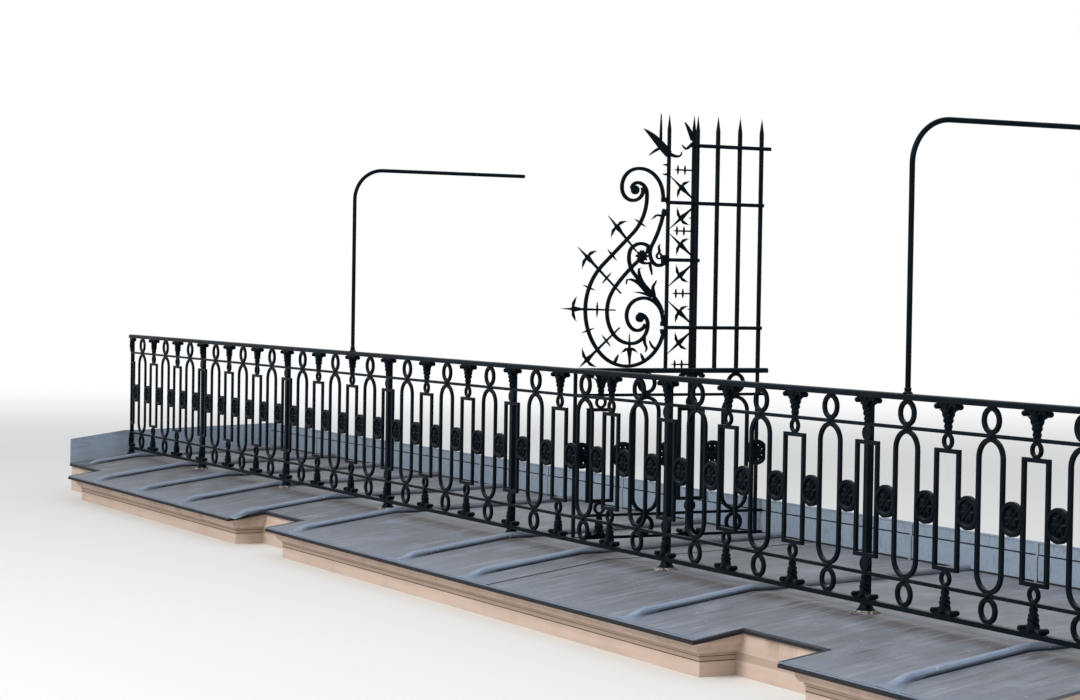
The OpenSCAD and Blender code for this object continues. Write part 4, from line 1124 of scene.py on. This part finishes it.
def seen_directly(material):
    """One for what the camera sees, also in gloss and through glass, and nothing for soft light."""
    ray = add(material, "LightPath")
    either = add(material, "Math", {0: ray.outputs["Is Camera Ray"], 1: ray.outputs["Is Glossy Ray"]},
                 operation="MAXIMUM")
    return add(material, "Math", {0: either, 1: ray.outputs["Is Transmission Ray"]}, operation="MAXIMUM")


class BALCONY_OT_stage(bpy.types.Operator):
    """Makes the floor, the lights and the camera"""
    bl_idname = "balcony.stage"
    bl_label = "Stage"

    def execute(self, context):
        self.make_floor()
        self.make_sky()
        self.make_lamp()
        self.make_camera()
        context.scene.view_settings.view_transform = "Standard"
        return {"FINISHED"}

    def make_floor(self):
        s = props("stage")
        mesh = bpy.data.meshes.new("floor")
        bm = bmesh.new()
        bmesh.ops.create_circle(bm, cap_ends=True, segments=96, radius=s.floor_radius)
        bm.to_mesh(mesh)
        bm.free()
        m, place = new_material("floor_pale")
        away = add(m, "VectorMath", {0: place}, operation="LENGTH")
        fade = add(m, "MapRange", {0: away, 1: FADE[0], 2: FADE[1]}, **SOFT)
        plain = add(m, "BsdfPrincipled", {"Base Color": rgba(s.floor), "Roughness": 0.9})
        white = add(m, "Emission", {"Color": (1, 1, 1, 1), "Strength": 1.0})
        blend = add(m, "MixShader", {0: fade, 1: plain, 2: white})
        shown = add(m, "MixShader", {0: seen_directly(m), 1: plain, 2: blend})
        add(m, "OutputMaterial", {"Surface": shown})
        mesh.materials.append(m)
        floor = self.place("floor", mesh)
        floor.location.z = CAD_LOW.z - 0.0005

    def place(self, name, data):
        obj = bpy.data.objects.new(name, data)
        bpy.context.scene.collection.objects.link(obj)
        return obj

    def make_sky(self):
        world = bpy.data.worlds.new("sky")
        bpy.context.scene.world = world
        world.use_nodes = True
        world.node_tree.nodes.clear()
        strength = props("stage").sky_strength
        sky = add(world, "Background", {"Color": rgba(linear("#eef2f8")), "Strength": strength})
        white = add(world, "Background", {"Color": (1, 1, 1, 1), "Strength": 1.0})
        shown = add(world, "MixShader", {0: seen_directly(world), 1: sky, 2: white})
        add(world, "OutputWorld", {"Surface": shown})

    def make_lamp(self):
        light = bpy.data.lights.new("key", "AREA")
        light.shape = "DISK"
        light.size = LAMP_WIDTH
        light.energy = props("stage").key_power
        lamp = self.place("key", light)
        lamp.location = LAMP_AT
        lamp.rotation_euler = (LAMP_TOWARD - LAMP_AT).to_track_quat("-Z", "Y").to_euler()

    def make_camera(self):
        data = bpy.data.cameras.new("camera")
        data.sensor_width = SENSOR
        data.lens = FOCAL_PX / FRAME_W * SENSOR
        data.clip_end = 500
        camera = self.place("camera", data)
        camera.matrix_world = (
            Matrix.Translation(CAMERA_AT) @ Matrix.Rotation(math.pi / 2 - CAMERA_TURN, 4, "Z")
            @ Matrix.Rotation(math.pi / 2 - CAMERA_DOWN, 4, "X") @ Matrix.Rotation(CAMERA_ROLL, 4, "Z"))
        bpy.context.scene.camera = camera


class BALCONY_PT_panel(bpy.types.Panel):
    bl_idname = "BALCONY_PT_panel"
    bl_label = "Balcony"
    bl_space_type = "VIEW_3D"
    bl_region_type = "UI"
    bl_category = "Balcony"

    def draw(self, context):
        for group in GROUPS:
            for name in GROUPS[group].__annotations__:
                self.layout.prop(props(group), name)
        for operator in OPERATORS:
            self.layout.operator(operator.bl_idname)


GROUPS = {
    "iron": IronProps, "casting": CastingProps, "zinc": ZincProps, "stone": StoneProps, "stage": StageProps}
OPERATORS = [
    BALCONY_OT_finish_solids, BALCONY_OT_shaft_leaves, BALCONY_OT_capitals, BALCONY_OT_rosettes,
    BALCONY_OT_hoop_feet, BALCONY_OT_rail_collars, BALCONY_OT_grille_forgings, BALCONY_OT_hammered_bars,
    BALCONY_OT_cornice_grooves, BALCONY_OT_drip_welt, BALCONY_OT_roll_noses, BALCONY_OT_lock_seams,
    BALCONY_OT_post_bells, BALCONY_OT_lead_dressings, BALCONY_OT_stage]
CLASSES = [*GROUPS.values(), *OPERATORS, BALCONY_PT_panel]


def register():
    for cls in CLASSES:
        bpy.utils.register_class(cls)
    for name, group in GROUPS.items():
        setattr(bpy.types.Scene, "balcony_" + name, PointerProperty(type=group))


def unregister():
    for name in GROUPS:
        delattr(bpy.types.Scene, "balcony_" + name)
    for cls in reversed(CLASSES):
        bpy.utils.unregister_class(cls)


def main():
    register()
    for operator in OPERATORS:
        getattr(bpy.ops.balcony, operator.bl_idname.partition(".")[2])()


if __name__ == "__main__":
    main()
